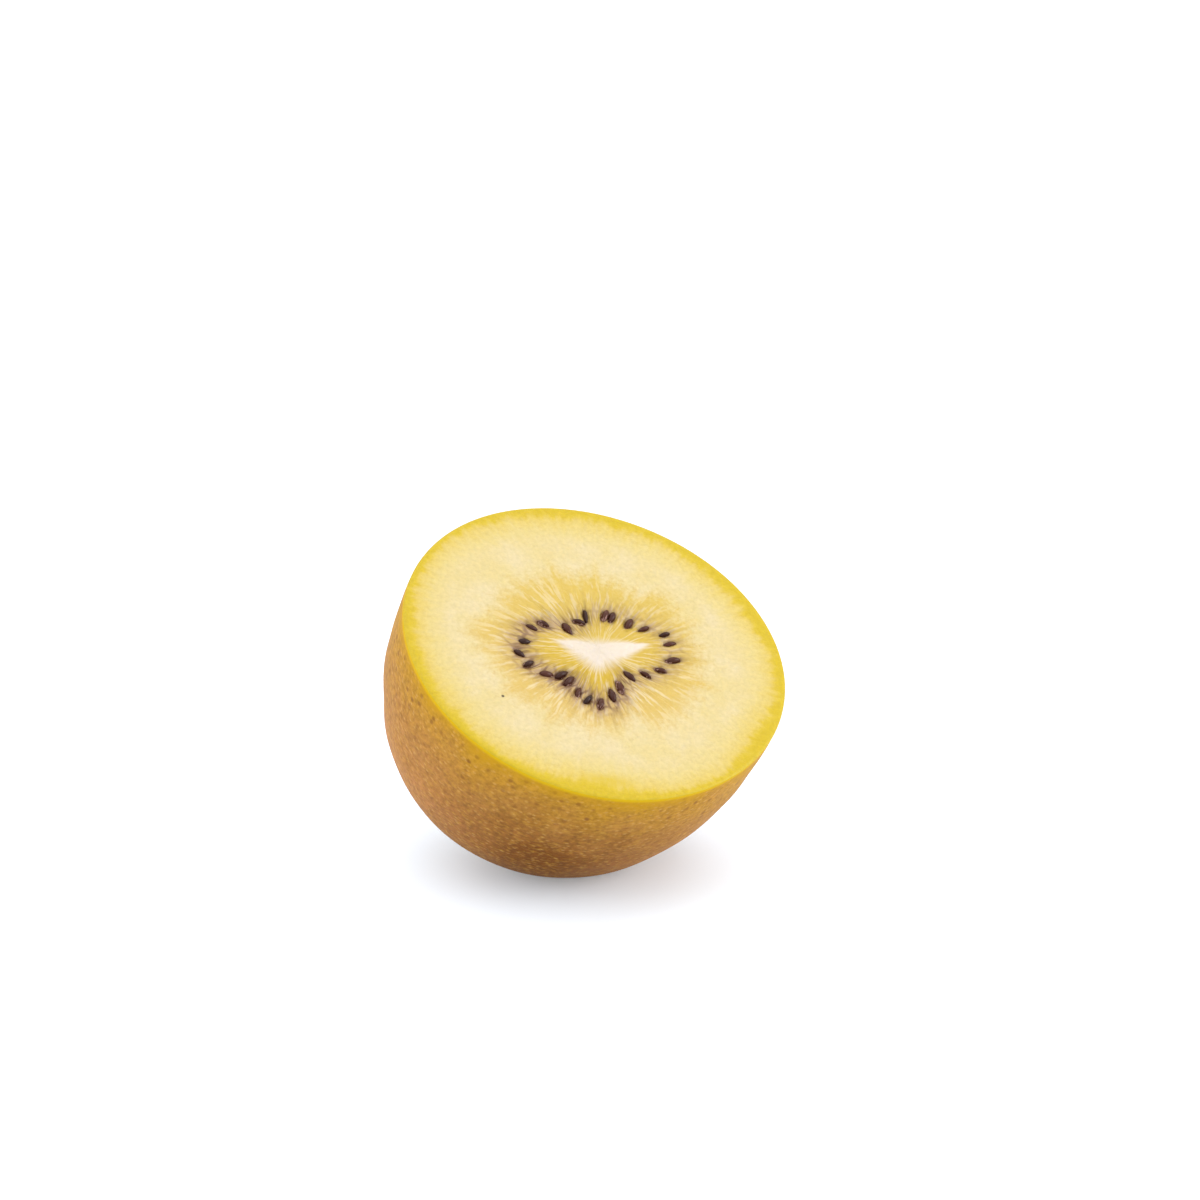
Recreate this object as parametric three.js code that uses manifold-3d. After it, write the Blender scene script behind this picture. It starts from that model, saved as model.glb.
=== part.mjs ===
// Half of a golden kiwi fruit, cut across its length, lying on its skin with the cut face leaning forward.
// Millimetres, +Z up. The origin is the middle of the small flat spot that the half rests on.
// In its own axes the half has its cut face in the plane z = 0, facing +Z, with the face's middle at the origin
// and its long axis along X. Its stem end is the lowest point. It is then leaned and lifted into place.

import * as THREE from 'three';
import { mergeVertices } from 'three/addons/utils/BufferGeometryUtils.js';
import Module from 'manifold-3d';

const wasm = await Module();
wasm.setup();

// Body of the half
const FACE_LONG_RADIUS = 27.5;
const FACE_SHORT_RADIUS = 24.8;
const HALF_DEPTH = 35.5;
const PROFILE_POWER = 0.6; // 1 is an ellipse, less is a blunter stem end
const SHOULDER_SWELL = 0.012;
const OUTLINE_LOBE = { share: 0.0055, at: 17 }; // three very soft corners, and the bearing of the first in degrees
const CUT_EDGE_DROP = 0.35;
const CUT_EDGE_WIDTH = 0.5;

// How the half lies
const LEAN = 35; // degrees between the cut face and the level
const LEAN_BEARING = 32; // degrees from -Y towards +X, the way that the face looks
const SPIN = -25; // degrees that the half is turned about its own axis
const FACE_HEIGHT = 34.28; // from the flat spot up to the middle of the face
const FACE_OFFSET_X = 2.83;
const FACE_OFFSET_Y = -6.25;

// Heart of the face: pale core, seeds round it, and rays of pulp
const HEART_X = 0.3;
const HEART_Y = -0.4;
const CORE_SIDES = [
  { distance: 2.0, faces: 99 },
  { distance: 2.8, faces: 238 },
  { distance: 2.5, faces: 307 },
];
const CORE_CORNER_POWER = 10; // more is a sharper corner
const CORE_RISE = 0.35;
const PULP_DIP = 0.35;
const PULP_DIP_WIDTH = 2.4;
const RAY_COUNT = 24;
const RAY_HEIGHT = 0.1;
const RAY_SPREAD = 4.5;
const RAY_MIDDLE = 3.5; // outside the seeds

// Seeds
const SEED_COUNT = 26;
const SEED_RING_RADIUS = 7.8;
const SEED_RING_WAVES = [
  { times: 2, reach: 2.1, at: 22 },
  { times: 3, reach: 0.95, at: 42 },
  { times: 4, reach: 1.1, at: 6 },
];
const SEED_START = 4.3; // degrees, as are the reaches of the two waves below
const SEED_CROWDING = [
  { times: 1, reach: 4, at: 113 },
  { times: 2, reach: 7.1, at: -13 },
];
const SEED_STEP_SHARE = 0.35;
const SEED_IN_OUT = 0.85;
const SEED_TURN = 18;
const SEED_TUMBLE = 60; // the few that lie across
const SEED_TUMBLE_POWER = 9;
const SEED_LENGTH = 2.15;
const SEED_WIDTH = 1.1;
const SEED_THICKNESS = 1.4;
const SEED_SIZE_SHARE = 0.18;
const SEED_SLIM_SHARE = 0.38; // how much of its width the slimmest seed gives up
const SEED_STANDS = 0.5; // the tallest; the pulp covers the others further
const SEED_COVER = 0.32;
const SEED_DRAW_START = 407553;

// Stem end
const SCAR_RADIUS = 8.4;
const SCAR_RISE = 0.55;
const SCAR_EDGE = 1.1;
const SCAR_RING_RADIUS = 3.9;
const SCAR_RING_WIDTH = 0.9;
const SCAR_RING_RISE = 0.55;
const SCAR_PIT_RADIUS = 2.1;
const SCAR_PIT_DEPTH = 1.0;
const SCAR_KNOB_WAVES = [
  { times: 7, twist: 1.3 },
  { times: 11, twist: -0.8 },
  { times: 4, twist: 2.1 },
];
const SCAR_KNOB_HEIGHT = 0.16;
const SCAR_KNOB_PLACE = 6.2;
const SCAR_KNOB_WIDTH = 1.9;

// Fineness
const SIDES = 96;
const FACE_ROWS = 13;
const SKIN_ROWS = 15;
const SCAR_ROWS = 10;
const SEED_SIDES = 8;
const SEED_RINGS = 5;

const DEGREE = Math.PI / 180;
const SKIN_COLOUR = 0xc9964a;

// Cross-section of the fruit at an angle, as a point on the cut face's edge.
function edgePoint(angle) {
  const lobe = 1 + OUTLINE_LOBE.share * Math.cos(3 * (angle - OUTLINE_LOBE.at * DEGREE));
  return [FACE_LONG_RADIUS * lobe * Math.cos(angle), FACE_SHORT_RADIUS * lobe * Math.sin(angle)];
}

function bell(distance, width) {
  return Math.exp(-((distance / width) ** 2));
}

// The core's outline: a triangle with rounded corners, given by how far its sides are from the middle.
function coreRadius(angle) {
  let total = 0;
  for (const side of CORE_SIDES) {
    total += (Math.max(0, Math.cos(angle - side.faces * DEGREE)) / side.distance) ** CORE_CORNER_POWER;
  }
  return total ** (-1 / CORE_CORNER_POWER);
}

function waveSum(waves, angle) {
  return waves.reduce((sum, wave) => sum + wave.reach * Math.cos(wave.times * (angle - wave.at * DEGREE)), 0);
}

function seedRingRadius(angle) {
  return SEED_RING_RADIUS + waveSum(SEED_RING_WAVES, angle);
}

// Height of the face over its plane: the core domes up, the pulp dips round the seeds, and rays run out from it.
function faceHeight(x, y) {
  const dx = x - HEART_X;
  const dy = y - HEART_Y;
  const distance = Math.hypot(dx, dy);
  const angle = Math.atan2(dy, dx);
  const ring = seedRingRadius(angle);
  const core = CORE_RISE * Math.max(0, 1 - (distance / coreRadius(angle)) ** 2);
  const dip = PULP_DIP * bell(distance - ring, PULP_DIP_WIDTH);
  const ray = RAY_HEIGHT * Math.cos(RAY_COUNT * angle) * bell(distance - ring - RAY_MIDDLE, RAY_SPREAD);
  return core - dip + ray * Math.min(1, distance / ring);
}

function ringOfPoints(pointAt) {
  return Array.from({ length: SIDES }, (_, i) => pointAt((2 * Math.PI * i) / SIDES));
}

// Rings of the cut face, from near its middle to just inside the softened edge.
function faceRings() {
  const rings = [];
  const innerShare = 1 - CUT_EDGE_WIDTH / FACE_SHORT_RADIUS;
  for (let row = 1; row <= FACE_ROWS; row += 1) {
    const share = (innerShare * row) / FACE_ROWS;
    rings.push(ringOfPoints((angle) => {
      const [x, y] = edgePoint(angle);
      return [x * share, y * share, faceHeight(x * share, y * share)];
    }));
  }
  return rings;
}

// A point of the skin: the section shrinks as a power of the cosine while the depth grows as the sine.
function skinPoint(angle, turn) {
  const share = Math.cos(turn) ** PROFILE_POWER * (1 + SHOULDER_SWELL * Math.sin(2 * turn));
  const [x, y] = edgePoint(angle);
  return [x * share, y * share, -HALF_DEPTH * Math.sin(turn)];
}

// The turn at which the skin is a given share of the section's radius, measured without the swell.
function turnAtShare(share) {
  return Math.acos(share ** (1 / PROFILE_POWER));
}

// Rough knobs on the stem end's disc: waves round it that twist with the distance, so that no two are alike.
function scarKnobs(distance, angle) {
  let height = 0;
  for (const wave of SCAR_KNOB_WAVES) {
    height += SCAR_KNOB_HEIGHT * Math.cos(wave.times * angle + wave.twist * distance);
  }
  return height * bell(distance - SCAR_KNOB_PLACE, SCAR_KNOB_WIDTH);
}

// Relief of the stem end, outwards: a raised disc with knobs, a collar and the pit where the stalk was.
function scarRelief(distance, angle) {
  const disc = SCAR_RISE / (1 + Math.exp((distance - SCAR_RADIUS) / (SCAR_EDGE / 3)));
  const collar = SCAR_RING_RISE * bell(distance - SCAR_RING_RADIUS, SCAR_RING_WIDTH);
  const pit = SCAR_PIT_DEPTH * bell(distance, SCAR_PIT_RADIUS);
  return disc + collar + scarKnobs(distance, angle) - pit;
}

function scarPoint(angle, turn) {
  const [x, y, z] = skinPoint(angle, turn);
  return [x, y, z - scarRelief(Math.hypot(x, y), angle)];
}

// Rings of the skin, from the cut edge down to the stem end, closer together on the scar.
function skinRings() {
  const rings = [];
  const scarShare = (SCAR_RADIUS + SCAR_EDGE) / FACE_SHORT_RADIUS;
  const scarTurn = turnAtShare(scarShare);
  for (let row = 0; row < SKIN_ROWS; row += 1) {
    const turn = (scarTurn * row) / SKIN_ROWS;
    const drop = row === 0 ? CUT_EDGE_DROP : 0;
    rings.push(ringOfPoints((angle) => {
      const [x, y, z] = scarPoint(angle, turn);
      return [x, y, z - drop];
    }));
  }
  for (let row = SCAR_ROWS; row >= 1; row -= 1) {
    const turn = turnAtShare((scarShare * row) / SCAR_ROWS);
    rings.push(ringOfPoints((angle) => scarPoint(angle, turn)));
  }
  return rings;
}

// One closed surface over rings of points, from a first pole to a last one, with its faces outwards.
function closedSurface(firstPole, rings, lastPole) {
  const points = [firstPole, ...rings.flat(), lastPole];
  const at = (ring, i) => 1 + ring * SIDES + (i % SIDES);
  const last = rings.length - 1;
  const index = [];
  for (let i = 0; i < SIDES; i += 1) {
    index.push(0, at(0, i), at(0, i + 1));
    for (let ring = 0; ring < last; ring += 1) {
      index.push(at(ring, i), at(ring + 1, i), at(ring + 1, i + 1));
      index.push(at(ring, i), at(ring + 1, i + 1), at(ring, i + 1));
    }
    index.push(at(last, i), points.length - 1, at(last, i + 1));
  }
  const geometry = new THREE.BufferGeometry();
  geometry.setAttribute('position', new THREE.Float32BufferAttribute(points.flat(), 3));
  geometry.setIndex(index);
  return geometry;
}

function bodyGeometry() {
  const middle = [0, 0, faceHeight(0, 0)];
  const stemEnd = [0, 0, -HALF_DEPTH - scarRelief(0, 0)];
  return closedSurface(middle, [...faceRings(), ...skinRings()], stemEnd);
}

// A repeatable draw from 0 to 1, the same on every run.
function drawer(start) {
  let state = start;
  return () => {
    state = (state * 1664525 + 1013904223) % 4294967296;
    return state / 4294967296;
  };
}

function spread(draw) {
  return 2 * draw() - 1;
}

// One seed: a pointed grain with its long axis outwards and its root sunk in the pulp.
function seedGeometry({ x, y, bearing, size }, slim, stands) {
  const geometry = new THREE.SphereGeometry(1, SEED_SIDES, SEED_RINGS);
  geometry.rotateZ(Math.PI / 2);
  geometry.scale((SEED_LENGTH * size) / 2, (SEED_WIDTH * size * slim) / 2, (SEED_THICKNESS * size) / 2);
  geometry.rotateZ(bearing);
  geometry.translate(x, y, faceHeight(x, y) + stands - (SEED_THICKNESS * size) / 2);
  return geometry;
}

// The seeds stand round the core in steps that crowd a little towards the ring's long ends. Each is moved a
// little along, in or out, and turned a little; a high power of the same draw lays the odd one across.
function seedPlaces(draw) {
  const places = [];
  for (let i = 0; i < SEED_COUNT; i += 1) {
    const step = i + SEED_STEP_SHARE * spread(draw);
    const even = SEED_START + (360 * step) / SEED_COUNT;
    const angle = (even + waveSum(SEED_CROWDING, even * DEGREE)) * DEGREE;
    const distance = seedRingRadius(angle) + SEED_IN_OUT * spread(draw);
    const askew = spread(draw);
    const bearing = angle + (SEED_TURN * askew + SEED_TUMBLE * askew ** SEED_TUMBLE_POWER) * DEGREE;
    const size = 1 + SEED_SIZE_SHARE * spread(draw);
    draw(); // the seed's shade, which the solid doesn't show
    const x = HEART_X + distance * Math.cos(angle);
    const y = HEART_Y + distance * Math.sin(angle);
    places.push({ x, y, bearing, size });
  }
  return places;
}

// The seeds in their places, each more or less slim and more or less covered.
function seedGeometries() {
  const draw = drawer(SEED_DRAW_START);
  return seedPlaces(draw).map((place) => {
    const slim = 1 - SEED_SLIM_SHARE * draw();
    const stands = SEED_STANDS - SEED_COVER * draw();
    return seedGeometry(place, slim, stands);
  });
}

function toSolid(geometry) {
  const bare = geometry.clone();
  bare.deleteAttribute('normal');
  bare.deleteAttribute('uv');
  const merged = mergeVertices(bare, 1e-4);
  return new wasm.Manifold(new wasm.Mesh({
    numProp: 3,
    vertProperties: new Float32Array(merged.attributes.position.array),
    triVerts: new Uint32Array(merged.index.array),
  }));
}

function toGeometry(solid) {
  const mesh = solid.getMesh();
  const geometry = new THREE.BufferGeometry();
  geometry.setAttribute('position', new THREE.BufferAttribute(new Float32Array(mesh.vertProperties), 3));
  geometry.setIndex(new THREE.BufferAttribute(new Uint32Array(mesh.triVerts), 1));
  geometry.computeVertexNormals();
  return geometry;
}

// From the half's own axes to how it lies: spun, leaned towards -Y, swung to its bearing and lifted.
function lyingMatrix() {
  const spin = new THREE.Matrix4().makeRotationZ(SPIN * DEGREE);
  const lean = new THREE.Matrix4().makeRotationX(LEAN * DEGREE);
  const swing = new THREE.Matrix4().makeRotationZ(LEAN_BEARING * DEGREE);
  const lift = new THREE.Matrix4().makeTranslation(FACE_OFFSET_X, FACE_OFFSET_Y, FACE_HEIGHT);
  return lift.multiply(swing).multiply(lean).multiply(spin);
}

// A block under the level z = 0, which flattens the spot that the half rests on.
function groundBlock() {
  const side = 4 * FACE_LONG_RADIUS;
  const block = new THREE.BoxGeometry(side, side, HALF_DEPTH);
  block.translate(0, 0, -HALF_DEPTH / 2);
  return block;
}

function kiwiHalf() {
  const lying = lyingMatrix();
  let solid = toSolid(bodyGeometry().applyMatrix4(lying));
  for (const seed of seedGeometries()) {
    solid = solid.add(toSolid(seed.applyMatrix4(lying)));
  }
  solid = solid.subtract(toSolid(groundBlock()));
  const material = new THREE.MeshStandardMaterial({ color: SKIN_COLOUR, roughness: 0.6, metalness: 0 });
  const mesh = new THREE.Mesh(toGeometry(solid), material);
  mesh.name = 'kiwi_half';
  return mesh;
}

const part = new THREE.Group();
part.add(kiwiHalf());

export default part;
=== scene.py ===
"""Half of a golden kiwi fruit, cut across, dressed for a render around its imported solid.

All sizes of the fruit are in millimetres in the half's own axes: the cut face lies in the plane z = 0 and
looks along +z, its middle is the origin, its long axis is x, and the stem end is the lowest point. One
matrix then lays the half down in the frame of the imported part, in metres, with the middle of its rest spot
at the origin.
"""

import logging
import math
from dataclasses import dataclass, field
from enum import Enum
from typing import Any

import bpy
import numpy as np
from mathutils import Matrix, Vector


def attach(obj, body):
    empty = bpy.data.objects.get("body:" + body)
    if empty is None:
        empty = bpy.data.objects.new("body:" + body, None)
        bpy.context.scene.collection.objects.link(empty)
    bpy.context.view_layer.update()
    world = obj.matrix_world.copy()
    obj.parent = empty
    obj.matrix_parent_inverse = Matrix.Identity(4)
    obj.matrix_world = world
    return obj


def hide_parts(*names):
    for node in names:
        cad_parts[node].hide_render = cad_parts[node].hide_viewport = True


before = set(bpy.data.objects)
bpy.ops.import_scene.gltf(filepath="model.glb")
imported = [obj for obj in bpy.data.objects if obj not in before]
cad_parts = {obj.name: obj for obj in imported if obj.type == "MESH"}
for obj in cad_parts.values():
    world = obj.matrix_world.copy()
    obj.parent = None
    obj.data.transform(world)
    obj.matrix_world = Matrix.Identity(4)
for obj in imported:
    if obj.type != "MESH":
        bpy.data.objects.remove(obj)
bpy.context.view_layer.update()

LOG = logging.getLogger("kiwi")
NODE = "kiwi_half"
BODY = "root"
MM = 0.001
FAR_MM = 99.0
SMALLEST_SHARE = 1e-6
LARGEST_EXPONENT = 50.0

# Kinds of node that the materials use most, and settings that many of them share
ATTRIBUTE = "ShaderNodeAttribute"
MAP_RANGE = "ShaderNodeMapRange"
MATH = "ShaderNodeMath"
MIX = "ShaderNodeMix"
NOISE = "ShaderNodeTexNoise"
COLOURS = {"data_type": "RGBA"}
SMOOTH = {"interpolation_type": "SMOOTHSTEP"}
TIMES = {"operation": "MULTIPLY"}

# Sockets of a Mix node that mixes colours
MIX_A = 6
MIX_B = 7
MIX_RESULT = 2

# Rule of the repeatable draws: the last state times a factor, plus a step, within a range
DRAW_FACTOR = 1664525
DRAW_STEP = 1013904223
DRAW_RANGE = 4294967296


class Zone(Enum):
    """The two finishes of the half's surface, as material indices."""

    CUT_FACE = 0
    SKIN = 1


class Slot(Enum):
    """Names of the material slots for the skin, the flesh and the seeds."""

    SKIN = "skin"
    FLESH = "flesh"
    SEED = "seed"


def linear(hex_colour: str) -> tuple[float, float, float, float]:
    """Turns an sRGB hex colour into linear light.

    Args:
        hex_colour: six hex digits after a hash sign.

    Returns:
        Red, green and blue in linear light, and an alpha of 1.
    """
    shares = [int(hex_colour[i:i + 2], 16) / 255 for i in (1, 3, 5)]
    bent = [s / 12.92 if s <= 0.04045 else ((s + 0.055) / 1.055) ** 2.4 for s in shares]
    return bent[0], bent[1], bent[2], 1.0


def add_node(tree: bpy.types.NodeTree, kind: str, settings: dict[Any, Any] | None = None,
             links: dict[Any, bpy.types.NodeSocket] | None = None) -> bpy.types.Node:
    """Adds a node with its settings and links.

    Args:
        tree: the material's node tree.
        kind: the node's type name.
        settings: property names, or the names or numbers of input sockets, with their values.
        links: names or numbers of input sockets, with the output sockets that feed them.

    Returns:
        The new node.
    """
    node = tree.nodes.new(kind)
    for key, value in (settings or {}).items():
        if isinstance(key, str) and hasattr(node, key):
            setattr(node, key, value)
        else:
            node.inputs[key].default_value = value
    for key, source in (links or {}).items():
        tree.links.new(source, node.inputs[key])
    return node


def start_material(name: str) -> tuple[bpy.types.Material, bpy.types.NodeTree]:
    """Starts a material whose node tree is empty.

    Args:
        name: the material's name.

    Returns:
        The material and its node tree.
    """
    made = bpy.data.materials.new(name)
    made.use_nodes = True
    made.node_tree.nodes.clear()
    return made, made.node_tree


def set_stops(ramp: bpy.types.Node, stops: tuple[tuple[float, str], ...]) -> None:
    """Gives a colour ramp its stops.

    Args:
        ramp: the colour ramp's node.
        stops: the place of each stop, from 0 to 1, with its sRGB hex colour.
    """
    for place, _ in stops[2:]:
        ramp.color_ramp.elements.new(place)
    for element, (place, tint) in zip(ramp.color_ramp.elements, stops):
        element.position = place
        element.color = linear(tint)


def bell(distance: np.ndarray, width: float) -> np.ndarray:
    """Bell curve: the exponent of minus the square of distance over width."""
    return np.exp(-((distance / width) ** 2))


def smooth_step(value: np.ndarray, low: float, high: float) -> np.ndarray:
    """Rises from 0 at low to 1 at high as 3 t squared minus 2 t cubed."""
    t = np.clip((value - low) / (high - low), 0.0, 1.0)
    return t * t * (3 - 2 * t)


def to_share(value: Any) -> Any:
    """Turns a number or numbers from -1 to 1 into shares from 0 to 1."""
    return 0.5 + 0.5 * value


def apart(angle: np.ndarray, bearing: float) -> np.ndarray:
    """Smallest angle in radians between bearings in radians and one bearing in degrees."""
    return np.abs(np.angle(np.exp(1j * (angle - math.radians(bearing)))))


@dataclass(frozen=True)
class Unevenness:
    """Natural unevenness: its height and mean wavelength in mm, its plane waves and its draws' start."""

    height: float
    wavelength: float
    waves: int
    seed: int
    spread: tuple[float, float] = (0.7, 1.4)

    def at(self, points: np.ndarray) -> np.ndarray:
        """Sum of plane waves in seeded directions, each about one wavelength long, scaled by their number.

        Args:
            points: array whose last axis holds coordinates in mm.

        Returns:
            Heights of about the unevenness's own height, one for each point.
        """
        draws = np.random.default_rng(self.seed)
        directions = draws.normal(size=(self.waves, points.shape[-1]))
        directions /= np.linalg.norm(directions, axis=1)[:, None]
        lengths = draws.uniform(*self.spread, self.waves)[:, None]
        directions *= (2 * math.pi / self.wavelength) * lengths
        phases = draws.uniform(0, 2 * math.pi, self.waves)
        total = np.cos(points @ directions.T + phases).sum(axis=-1) * math.sqrt(2 / self.waves)
        return self.height * total


@dataclass(frozen=True)
class Spokes:
    """Uneven spokes round a middle: their height in mm, their cosines' counts and their draws' start."""

    height: float
    counts: tuple[int, ...]
    seed: int

    def at(self, angle: np.ndarray) -> np.ndarray:
        """Sum of cosines of whole multiples of the angle, with seeded phases, scaled by their number.

        Args:
            angle: bearings in radians.

        Returns:
            Heights in mm, one for each bearing.
        """
        draws = np.random.default_rng(self.seed)
        total = np.zeros_like(angle)
        for count in self.counts:
            total += np.cos(count * angle + draws.uniform(0, 2 * math.pi))
        return self.height * (total * math.sqrt(2 / len(self.counts)))


@dataclass(frozen=True)
class FruitShape:
    """Form of the half: its section, its profile down to the stem end, and how it lies."""

    long_radius: float = 27.5
    short_radius: float = 24.8
    depth: float = 35.5
    profile_power: float = 0.6
    shoulder_swell: float = 0.012
    lobes: int = 3
    lobe_share: float = 0.0055
    lobe_bearing: float = 17.0
    edge_drop: float = 0.35
    edge_width: float = 0.5
    lean: float = 35.0
    lean_bearing: float = 32.0
    spin: float = -25.0
    face_place: tuple[float, float, float] = (2.83, -6.25, 34.28)

    def lobe(self, angle: np.ndarray) -> np.ndarray:
        """Swell of the section: one plus a small cosine that comes round once for each lobe."""
        return 1 + self.lobe_share * np.cos(self.lobes * (angle - math.radians(self.lobe_bearing)))

    def section(self, angle: np.ndarray) -> np.ndarray:
        """Edge of the cut face: an ellipse whose radius swells a little three times round.

        Args:
            angle: bearings in radians.

        Returns:
            x and y on the last axis.
        """
        lobe = self.lobe(angle)
        x = self.long_radius * lobe * np.cos(angle)
        y = self.short_radius * lobe * np.sin(angle)
        return np.stack([x, y], axis=-1)

    def edge_share(self, x: np.ndarray, y: np.ndarray) -> np.ndarray:
        """Share of the way from the face's middle to its edge: the ellipse's share over the lobes' swell."""
        angle = np.arctan2(y / self.short_radius, x / self.long_radius)
        return np.hypot(x / self.long_radius, y / self.short_radius) / self.lobe(angle)

    def share_at(self, turn: np.ndarray) -> np.ndarray:
        """Radius share of the profile: a power of the turn's cosine, swelling a little at the shoulder."""
        return np.cos(turn) ** self.profile_power * (1 + self.shoulder_swell * np.sin(2 * turn))

    def lying(self) -> Matrix:
        """Matrix from the half's own axes, in mm, to the frame, in metres: spun, leaned, swung and lifted.

        Returns:
            The matrix.
        """
        turn = Matrix.Rotation(math.radians(self.lean_bearing), 4, "Z")
        turn @= Matrix.Rotation(math.radians(self.lean), 4, "X")
        turn @= Matrix.Rotation(math.radians(self.spin), 4, "Z")
        return Matrix.Scale(MM, 4) @ Matrix.Translation(self.face_place) @ turn

    def lay_down(self, points: np.ndarray) -> np.ndarray:
        """Moves points of the half to the frame and flattens the rest spot, so that none is below zero.

        Args:
            points: array of x, y and z in mm in the half's own axes.

        Returns:
            The points in metres in the frame.
        """
        matrix = np.array(self.lying())
        placed = points @ matrix[:3, :3].T + matrix[:3, 3]
        placed[..., 2] = np.maximum(placed[..., 2], 0.0)
        return placed


@dataclass(frozen=True)
class RimPatch:
    """A stretch of the rim where the yellow under the skin is deeper or thinner.

    It has a bearing and half a reach, in degrees, and the mm that the paler flesh comes nearer to the skin.
    """

    bearing: float
    reach: float
    nearer: float


@dataclass(frozen=True)
class Side:
    """One side of the core's rounded triangle: its distance in mm, and the way it faces in degrees."""

    distance: float
    bearing: float


@dataclass(frozen=True)
class Wave:
    """One wave round a ring: how many times it comes round, its reach and its first crest in degrees."""

    times: int
    reach: float
    bearing: float


def wave_sum(waves: tuple[Wave, ...], angle: np.ndarray) -> np.ndarray:
    """Sum of the waves at each bearing: the cosine of each, times its reach.

    Args:
        waves: the waves round the ring.
        angle: bearings in radians.

    Returns:
        The sum in mm or degrees, as the reaches are, one for each bearing.
    """
    total = np.zeros_like(angle)
    for wave in waves:
        total = total + wave.reach * np.cos(wave.times * (angle - math.radians(wave.bearing)))
    return total


@dataclass(frozen=True)
class HeartShape:
    """Pattern round the middle of the cut face: pale core, ring of seeds and darker star of pulp."""

    middle: tuple[float, float] = (0.3, -0.4)
    core_sides: tuple[Side, ...] = (Side(2.0, 99.0), Side(2.8, 238.0), Side(2.5, 307.0))
    core_corner_power: float = 10.0
    core_rise: float = 0.35
    ring_radius: float = 7.8
    ring_waves: tuple[Wave, ...] = (Wave(2, 2.1, 22.0), Wave(3, 0.95, 42.0), Wave(4, 1.1, 6.0))
    star_radius: float = 14.6
    star_waves: tuple[Wave, ...] = (Wave(1, 0.7, 155.0), Wave(2, 1.6, 8.0))
    low_bearing: float = 260.0
    pulp_dip: float = 0.35
    pulp_dip_width: float = 2.4
    rays: Spokes = Spokes(0.05, (24, 37, 53, 71), 5)
    ray_spread: float = 4.5
    ray_middle: float = 3.5

    def polar(self, x: np.ndarray, y: np.ndarray) -> tuple[np.ndarray, np.ndarray]:
        """Distance from the heart's middle and bearing round it.

        Args:
            x: places along the long axis, in mm.
            y: places along the short axis, in mm.

        Returns:
            Distances in mm and bearings in radians.
        """
        dx = x - self.middle[0]
        dy = y - self.middle[1]
        return np.hypot(dx, dy), np.arctan2(dy, dx)

    def core_edge(self, angle: np.ndarray) -> np.ndarray:
        """Outline of the core, a triangle with rounded corners.

        Each side's line is as far as its distance over the cosine of the bearing from the way it faces. The
        sides are joined by a power mean, which is near to the closest line and rounds the corners.

        Args:
            angle: bearings round the heart's middle, in radians.

        Returns:
            Radii in mm.
        """
        total = np.zeros_like(angle)
        for side in self.core_sides:
            facing = np.maximum(0.0, np.cos(angle - math.radians(side.bearing)))
            total = total + (facing / side.distance) ** self.core_corner_power
        return total ** (-1 / self.core_corner_power)

    def ring_edge(self, angle: np.ndarray) -> np.ndarray:
        """Middle line of the ring of seeds."""
        return self.ring_radius + wave_sum(self.ring_waves, angle)

    def star_edge(self, angle: np.ndarray) -> np.ndarray:
        """Outer limit of the darker pulp round the seeds."""
        return self.star_radius + wave_sum(self.star_waves, angle)

    def height(self, x: np.ndarray, y: np.ndarray) -> np.ndarray:
        """Height of the cut face: the core domes up, the pulp dips round the seeds, and uneven rays run out.

        Args:
            x: places along the long axis, in mm.
            y: places along the short axis, in mm.

        Returns:
            Heights over the plane of the cut, in mm.
        """
        distance, angle = self.polar(x, y)
        ring = self.ring_edge(angle)
        core = self.core_rise * np.maximum(0.0, 1 - (distance / self.core_edge(angle)) ** 2)
        dip = self.pulp_dip * bell(distance - ring, self.pulp_dip_width)
        ray = self.rays.at(angle) * bell(distance - ring - self.ray_middle, self.ray_spread)
        return core - dip + ray * np.minimum(1.0, distance / ring)


@dataclass(frozen=True)
class Grain:
    """One seed: its place on the cut face, its turn, its sizes in mm, how far it stands out, its shade."""

    x: float
    y: float
    bearing: float
    length: float
    width: float
    thickness: float
    stands: float
    shade: float

    def shown(self) -> float:
        """Share of the seed's outline that stands free of the pulp: an ellipse's, cut at this height."""
        return math.sqrt(1 - (1 - 2 * self.stands / self.thickness) ** 2)


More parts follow.
